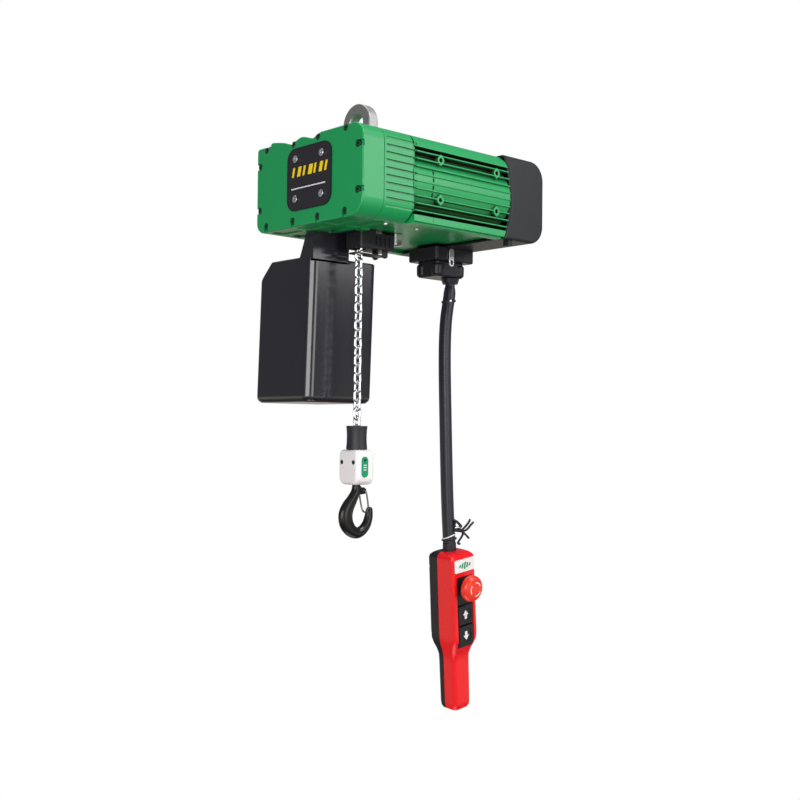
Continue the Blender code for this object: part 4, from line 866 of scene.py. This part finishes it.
# ---------------------------------------------------------------- plug, cable and pendant
def plug():
    low, high = size("connector_base")
    x, y = (low.x, high.x), (low.y, high.y)
    base = slab("plug_base_housing", "Z", (x[0], y[0]), (x[1], y[1]), 6, PLUG_FLANGE, PLUG_TOP, (2.5, 0.3))
    cuts = []
    for at in (x[0] + 7, x[1] - 7):
        cuts.append(cylinder("screw_well", "Z", (at, y[0] + 8), PLUG_FLANGE - 2, PLUG_FLANGE + 4, 3.6, 20))
    dress(cut(base, *cuts), "moulding", "connector_base")
    low, high = size("connector_hood")
    hood = slab("plug_hood_shell", "Z", (low.x + 4, low.y + 4), (high.x - 4, high.y - 4), 5, PLUG_HOOD,
        PLUG_FLANGE - 0.3, (3.5, 0.5), 4)
    lobe = softened([(PLUG_HOOD + 1.5, 0), (PLUG_HOOD + 1.5, 11), (PLUG_FLANGE - 4, 11.5),
        (PLUG_FLANGE - 4, 0)], 5, 5)
    corners = [(x, y) for x in (low.x + 11.5, high.x - 11.5) for y in (low.y + 11.5, high.y - 11.5)]
    lobes = [turned("lobe", lobe, "Z", corner, 32) for corner in corners]
    dress(join(hood, *lobes), "moulding", "connector_hood")
    ridges = []
    for k in range(7):
        z = PLUG_LOW + 1.5 * k
        ridges += [(z, 14 + 0.45 * k), (z + 0.8, 14.5 + 0.45 * k)]
    profile = [(PLUG_LOW, 0)] + ridges + [(PLUG_HOOD - 0.3, 17), (PLUG_HOOD - 0.3, 0)]
    dress(turned("cable_gland_nut", profile, "Z", CABLE_EXIT[:2], 48), "moulding", "cable_gland")
    low, high = size("connector_lever")
    plate = slab("plug_lever", "Y", (low.x, low.z), (high.x, high.z), 5.8, low.y, high.y, 0.6)
    hole = slab("slot", "Y", (218.4, -216.2), (223.6, -207.5), 2.4, low.y - 3, high.y + 3)
    dress(cut(plate, hole), "zinc", "connector_lever", body="connector_lever")


def cable_centre(z):
    """Where the cable's centre line is at a height."""
    for a, b in zip(CABLE_ROUTE, CABLE_ROUTE[1:]):
        if b[2] <= z <= a[2]:
            t = (a[2] - z) / (a[2] - b[2])
            return Vector([p + (q - p) * t for p, q in zip(a, b)])
    return Vector(CABLE_ROUTE[0] if z > CABLE_ROUTE[0][2] else CABLE_ROUTE[-1])


def cable():
    path = smooth(CABLE_ROUTE, 4)

    def section(share, angle):
        bundle = 1 + 0.045 * math.cos(3 * angle + 0.6) + 0.02 * math.cos(7 * angle)
        sleeve = 0.8 + 0.2 * min(max((share - 0.05) / 0.08, 0), 1)
        return CABLE_R * sleeve * (0.99 + 0.06 * share) * bundle

    flex = tube("control_cable", path, section, 36)
    dress(flex, "jacket", "pendant_cable", body="pendant", ride=False)
    [v * MM for v in CABLE_ROUTE[0]]
    [v * MM for v in CABLE_ROUTE[5]]
    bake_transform(flex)
    points = [Vector(p) for p in path]
    length = sum((b - a).length for a, b in zip(points, points[1:])) * MM
    [v * MM for v in CABLE_EXIT]
    [[v * MM for v in p] for p in path]
    return length


def ring_round_cable(name, z, radius, wire, tilt, look):
    """Closed loop round the cable at a height, tilted about the line of sight."""
    centre = cable_centre(z)
    turn = Matrix.Rotation(math.radians(tilt), 3, Vector((0.69, 0.72, 0)))
    path = [centre + turn @ Vector((radius * math.cos(a), radius * math.sin(a), 0))
        for a in (2 * math.pi * k / 40 for k in range(40))]
    return dress(tube(name, path, wire, 10, closed=True), look, body="pendant", slot="rubber")


def cable_ties():
    ring_round_cable("sleeve_tie", -279, 11.4, 2.4, -6, "rubber")
    knot = cable_centre(-279) + Vector((-0.5, -0.87, 0)) * 13.2
    dress(cylinder("sleeve_tie_clasp", "Z", knot[:2], -281.4, -276.6, 2.7, 20, 1.2), "zinc", body="pendant")
    ring_round_cable("lower_tie", -716, 12.6, 1.3, -22, "mark_white")
    ring_round_cable("lower_tie_cord", -721, 12.4, 2.2, -8, "rubber")
    across, toward = Vector((0.72, -0.69, 0)), Vector((-0.69, -0.72, 0))

    def spot(z, right, near=0.0):
        return cable_centre(z) + across * right + toward * near

    strands = {
        "knot_cord_upper": [(-684, 9, 5), (-688, 16, 7), (-697, 22, 4), (-704, 17, 1), (-700, 10, 3)],
        "knot_cord_end_1": [(-702, 12, 4), (-704, 22, 5), (-698, 30, 4), (-690, 37, 3), (-683, 41, 2)],
        "knot_cord_end_2": [(-705, 14, 2), (-706, 25, 2), (-702, 34, 3), (-694, 41, 4), (-688, 47, 4)],
        "knot_cord_end_3": [(-700, 20, 3), (-707, 26, 3), (-713, 32, 2), (-719, 37, 1)],
        "knot_cord_loop": [(-704, 26, 4), (-713, 25, 3), (-721, 20, 2), (-727, 16, 3), (-731, 18, 4),
                           (-737, 19, 3), (-743, 16, 2)],
    }
    for name, spots in strands.items():
        path = smooth([tuple(spot(z, right, near)) for z, right, near in spots], 6)
        dress(tube(name, path, 2.1, 10), "rubber", body="pendant")
    knot = [spot(-696 - 7 * math.sin(a) + 3 * math.sin(2 * a), 17 + 6 * math.cos(a), 4 + 3 * math.sin(3 * a))
        for a in (2 * math.pi * k / 48 for k in range(48))]
    dress(tube("knot", knot, 2.6, 10, closed=True), "rubber", body="pendant")
    # A thin bright zinc strip on the front of the knot: a painted highlight
    sheen = [spot(-700 + 2 * math.sin(a), 17 + 5 * math.cos(a), 7)
        for a in (math.pi * k / 12 for k in range(13))]
    dress(tube("knot_highlight_strip", sheen, 1.6, 10), "zinc", body="pendant")


def pendant_half(name, side, amount):
    """Front half (side -1) or back half (side 1) of the pendant, one cross section per height."""
    sections = []
    for z, half, front, back, radius in PENDANT_SECTIONS:
        depth = (front if side < 0 else back) - amount
        face = side * depth + (SPLIT_Y if side > 0 else 0)
        split = SPLIT_Y + side * 0.2 if not amount else SPLIT_Y - side * 5
        width, corner_r = half - amount, max(radius - amount * 0.5, 2)
        corner = arc((width - corner_r, 0), corner_r, 0, 90, 10)
        edge = [(u, face - side * (corner_r - v)) for u, v in corner]
        outline = [(width, split)] + edge + [(-u, v) for u, v in reversed(edge)] + [(-width, split)]
        height = z - amount * (1 if z > -100 else -1)
        sections.append([(u, v, height) for u, v in outline])
    return skin(name, sections, place=PENDANT_PLACE)


def pendant_front():
    front = pendant_half("pendant_front_shell", -1, 0)
    outline = rounded((-CHANNEL_HALF, CHANNEL_LOW), (CHANNEL_HALF, CHANNEL_HIGH), 4)
    cuts = [pendant_half("hollow", -1, 9), on_pendant("channel", outline, -50, CHANNEL_FLOOR)]
    for z in BUTTON_Z:
        half_x, half_z = BUTTON_HALF[0] + 0.5, BUTTON_HALF[1] + 0.5
        entry = rounded((-half_x, z - half_z), (half_x, z + half_z), 3.2)
        cuts.append(on_pendant("entry", entry, -50, -18))
    cuts.append(cylinder("stop_entry", "Y", (0, ESTOP_Z), -50, -20, 10.5, place=PENDANT_PLACE))
    cuts.append(cylinder("gland_entry", "Z", (0, 0), -20, 5, 12.4, place=PENDANT_PLACE))
    window = on_pendant("window", rounded((-26, -38.3), (26, -11.5), 3), -50, -36.9)
    cuts.append(window)
    cut(front, *cuts)
    soften(front, 0.8, 50)
    dress(front, "red", "pendant_front", body="pendant")
    panel = on_pendant("switch_panel", inset(outline, 0.3), CHANNEL_FLOOR - 1.4, CHANNEL_FLOOR - 0.1,
        (0.3, 0))
    holes = [on_pendant("hole", rounded((-BUTTON_HALF[0] - 0.4, z - BUTTON_HALF[1] - 0.4),
        (BUTTON_HALF[0] + 0.4, z + BUTTON_HALF[1] + 0.4), 3.2), -50, -20) for z in BUTTON_Z]
    holes.append(cylinder("hole", "Y", (0, ESTOP_Z), -50, -20, 10.2, place=PENDANT_PLACE))
    dress(cut(panel, *holes), "moulding", body="pendant")


def pendant_back():
    back = cut(pendant_half("pendant_back_shell", 1, 0), pendant_half("hollow", 1, 3))
    steps = []
    for z in (-32, -160):
        steps.append(block("step", (-40, SPLIT_Y + 21, z - 3), (40, 40, z + 3), place=PENDANT_PLACE))
    steps.append(cylinder("gland_entry", "Z", (0, 0), -20, 5, 12.4, place=PENDANT_PLACE))
    dress(cut(back, *steps), "moulding", "pendant_back", body="pendant")
    profile = softened([(-12, 0), (-12, 12), (2, 12.6), (12, 12.3), (12, 0)], 1.5)
    dress(turned("pendant_gland_boot", profile, "Z", (0, 0), 40, place=PENDANT_PLACE), "rubber",
        "pendant_gland", body="pendant")


def pendant_label():
    label = on_pendant("pendant_label_plate", rounded((-25, -37), (25, -13), 2.5), -38.8, -37.0, (0.4, 0))
    dress(label, "mark_white", "pendant_label", body="pendant")
    bars = []
    for index, (width, height) in enumerate(((4, 5), (4, 9), (4, 13), (4, 9), (4, 5))):
        x = -12.4 + 6.2 * index
        outline = [(x - width / 2 - 1.2, -25 - height / 2), (x + width / 2 - 1.2, -25 - height / 2),
            (x + width / 2 + 1.2, -25 + height / 2), (x - width / 2 + 1.2, -25 + height / 2)]
        bars.append(on_pendant("bar", outline, -39.15, -38.7))
    dress(gathered("pendant_label_stripes", bars), "mark_green", body="pendant")


def pendant_controls():
    stem = softened([(-18, 0), (-18, 9.5), (-40, 9.5), (-40, 6), (-46, 6), (-46, 0)], 0.6)
    dress(turned("stop_stem", stem, "Y", (0, ESTOP_Z), 36, place=PENDANT_PLACE), "moulding", "estop_stem",
        body="estop_stem")
    cap = [(-40.5, 6.4), (-40.5, 12.5), (-46, 14.5), (-49.5, 22.7), (-52, 24), (-57, 24), (-60.5, 22.4),
        (-63.5, 18.8), (-64.2, 16.6), (-65.2, 12), (-66, 6), (-66.2, 0), (-46.5, 0), (-46.5, 6.4)]
    outer = [tuple(p) for p in smooth(cap[1:12], 3)]
    outer[-1] = cap[11]
    button = turned("stop_button_cap", [cap[0]] + outer + cap[12:], "Y", (0, ESTOP_Z), 56, hollow=True,
        place=PENDANT_PLACE)
    dress(button, "stop", "estop_button", body="estop_button")
    marks = []
    for k in range(3):
        start = 120 * k + 20
        band = arc((0, ESTOP_Z), 13.2, start, start + 70, 12) + arc((0, ESTOP_Z), 11.6, start + 70, start, 12)
        marks.append(on_pendant("mark", band, -65.6, -64.3))
    dress(gathered("stop_button_turn_marks", marks), "mark_white", body="estop_button", slot="red_plastic")
    for name, z, way in (("button_up", BUTTON_Z[0], 1), ("button_down", BUTTON_Z[1], -1)):
        outline = rounded((-BUTTON_HALF[0], z - BUTTON_HALF[1]), (BUTTON_HALF[0], z + BUTTON_HALF[1]), 3)
        key = on_pendant(f"{name}_key", outline, -38, -22, (1.6, 0.3), 4)
        dish = on_pendant("dish", circle((0, z), 13.5, 48), -45, -37.1)
        dress(cut(key, dish), "moulding", name, body=name)
        head = [(-7, z), (7, z), (0, z + way * 8.5)]
        tail = [(-2.8, z - way * 7.5), (2.8, z - way * 7.5), (2.8, z), (-2.8, z)]
        arrow = [on_pendant("arrow", shape, -37.7, -36.9) for shape in (head, tail)]
        dress(gathered(f"{name}_arrow", arrow), "mark_white", body=name, slot="black_plastic")


# ---------------------------------------------------------------- inner pieces
def inner_pieces():
    """Finishes for the frame's own nodes that stay as they are."""
    finishes = {
        "steel": ("motor_rotor", "brake_disc", "layshaft", "output_gear", "load_wheel", "wheel_bearing_front",
                  "wheel_bearing_rear", "motor_bearing_front", "motor_bearing_rear", "motor_end_shield",
                  "brake_armature", "chain_pin", "thrust_bearing", "latch_pin", "hook_nut"),
        "copper": ("motor_stator", "brake_coil"),
        "board": ("control_board",),
        "moulding": ("contactor", "contact_block"),
    }
    for look, names in finishes.items():
        for name in names:
            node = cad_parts[name]
            node.data.materials.clear()
            node.data.materials.append(LOOKS[look])


# ---------------------------------------------------------------- stage
CAMERA_EYE, CAMERA_ANGLES, CAMERA_LENS = (-1267.1, -1485.1, -519.9), (47.395, 1.514, 0.606), 51.73
# From straight down (0) past the horizon (0.5) to straight up (1)
SKY = ((0.0, (0.10, 0.10, 0.11)), (0.24, (0.14, 0.14, 0.14)), (0.33, (0.75, 0.70, 0.60)),
    (0.46, (0.75, 0.70, 0.60)), (0.5, (0.15, 0.155, 0.175)), (1.0, (0.26, 0.27, 0.29)))
# Name, place and aim in metres, width, height, watts
LIGHTS = (("front_panel", (-2.0, -1.35, -0.25), (0, 0, -0.35), 2.2, 1.3, 42),
    ("side_panel", (0.46, -2.35, -0.3), (0, 0.04, -0.35), 1.1, 1.2, 12.5),
    ("side_card", (1.25, -1.75, 0.42), (-0.08, -0.14, -0.11), 0.8, 0.7, 9.5),
    ("key", (0.9, -1.9, 2.0), (0.1, -0.1, -0.1), 0.9, 0.9, 46), ("overhead", (0.3, 0.3, 2.0), (0.1, 0, 0),
    1.4, 1.4, 20))
FLOOR_DISC_CENTRE, FLOOR_DISC_R, FLOOR_DISC_Z = (100, 0), 430, (-1652, -1650)


def camera():
    yaw, pitch, roll = (math.radians(angle) for angle in CAMERA_ANGLES)
    ahead = Vector((math.cos(pitch) * math.cos(yaw), math.cos(pitch) * math.sin(yaw), math.sin(pitch)))
    right = ahead.cross(Vector((0, 0, 1))).normalized()
    up = right.cross(ahead)
    rolled_right = right * math.cos(roll) + up * math.sin(roll)
    rolled_up = up * math.cos(roll) - right * math.sin(roll)
    data = bpy.data.cameras.new("camera")
    data.sensor_width, data.lens = 36.0, CAMERA_LENS
    obj = linked("camera", data)
    turn = Matrix((rolled_right, rolled_up, -ahead)).transposed().to_4x4()
    obj.matrix_world = Matrix.Translation(Vector(CAMERA_EYE) * MM) @ turn
    bpy.context.scene.camera = obj


def area_light(name, place, aim, width, height, power):
    data = bpy.data.lights.new(name, "AREA")
    data.shape = "RECTANGLE"
    data.size, data.size_y, data.energy = width, height, power
    obj = linked(name, data)
    obj.location = place
    obj.rotation_euler = (Vector(aim) - Vector(place)).to_track_quat("-Z", "Y").to_euler()


def surroundings():
    """White to the camera; to the pieces dim above and far below, bright and warm just under the horizon."""
    world = bpy.context.scene.world = bpy.data.worlds.new("studio")
    world.use_nodes = True
    nodes, link = world.node_tree.nodes, world.node_tree.links.new
    backdrop = nodes["Background"]
    set_inputs(backdrop, {"Color": (1, 1, 1, 1), "Strength": 1.0})
    place, split = added(nodes, "TexCoord"), added(nodes, "SeparateXYZ")
    height, ramp = added(nodes, "MapRange", {"From Min": -1.0}), added(nodes, "ValToRGB")
    while len(ramp.color_ramp.elements) < len(SKY):
        ramp.color_ramp.elements.new(1.0)
    for element, (position, colour) in zip(ramp.color_ramp.elements, SKY):
        element.position = position
        element.color = (*colour, 1)
    around = added(nodes, "Background", {"Strength": 1.0})
    path, mix = added(nodes, "LightPath"), added(nodes, "MixShader")
    for start, output, end, entry in ((place, "Generated", split, "Vector"), (split, "Z", height, "Value"),
            (height, "Result", ramp, "Fac"), (ramp, "Color", around, "Color"),
            (path, "Is Camera Ray", mix, "Fac"), (around, "Background", mix, 1),
            (backdrop, "Background", mix, 2), (mix, "Shader", nodes["World Output"], "Surface")):
        link(start.outputs[output], end.inputs[entry])


def pale_floor():
    low, high = FLOOR_DISC_Z
    profile = [(low, 0), (low, FLOOR_DISC_R), (high, FLOOR_DISC_R), (high, 0)]
    floor = turned("floor", profile, "Z", FLOOR_DISC_CENTRE, 64)
    paint = bpy.data.materials.new("pale_floor")
    paint.use_nodes = True
    set_inputs(paint.node_tree.nodes["Principled BSDF"], {"Base Color": (0.9, 0.9, 0.9, 1), "Roughness": 0.8,
        "Emission Color": (1, 1, 1, 1), "Emission Strength": 1.0})
    floor.data.materials.append(paint)


def stage():
    surroundings()
    for light in LIGHTS:
        area_light(*light)
    pale_floor()
    scene = bpy.context.scene
    scene.view_settings.view_transform = "Standard"
    scene.view_settings.look = "None"


for build in (front_cover, gearbox_casting, motor_casting, rear_cover, nameplate, suspension_eye, chain_guide,
        limit_lever, chain_bag, load_chain, stored_chain, hook_block, hook, plug, cable, cable_ties,
        pendant_front, pendant_back, pendant_label, pendant_controls, inner_pieces, camera, stage):
    build()
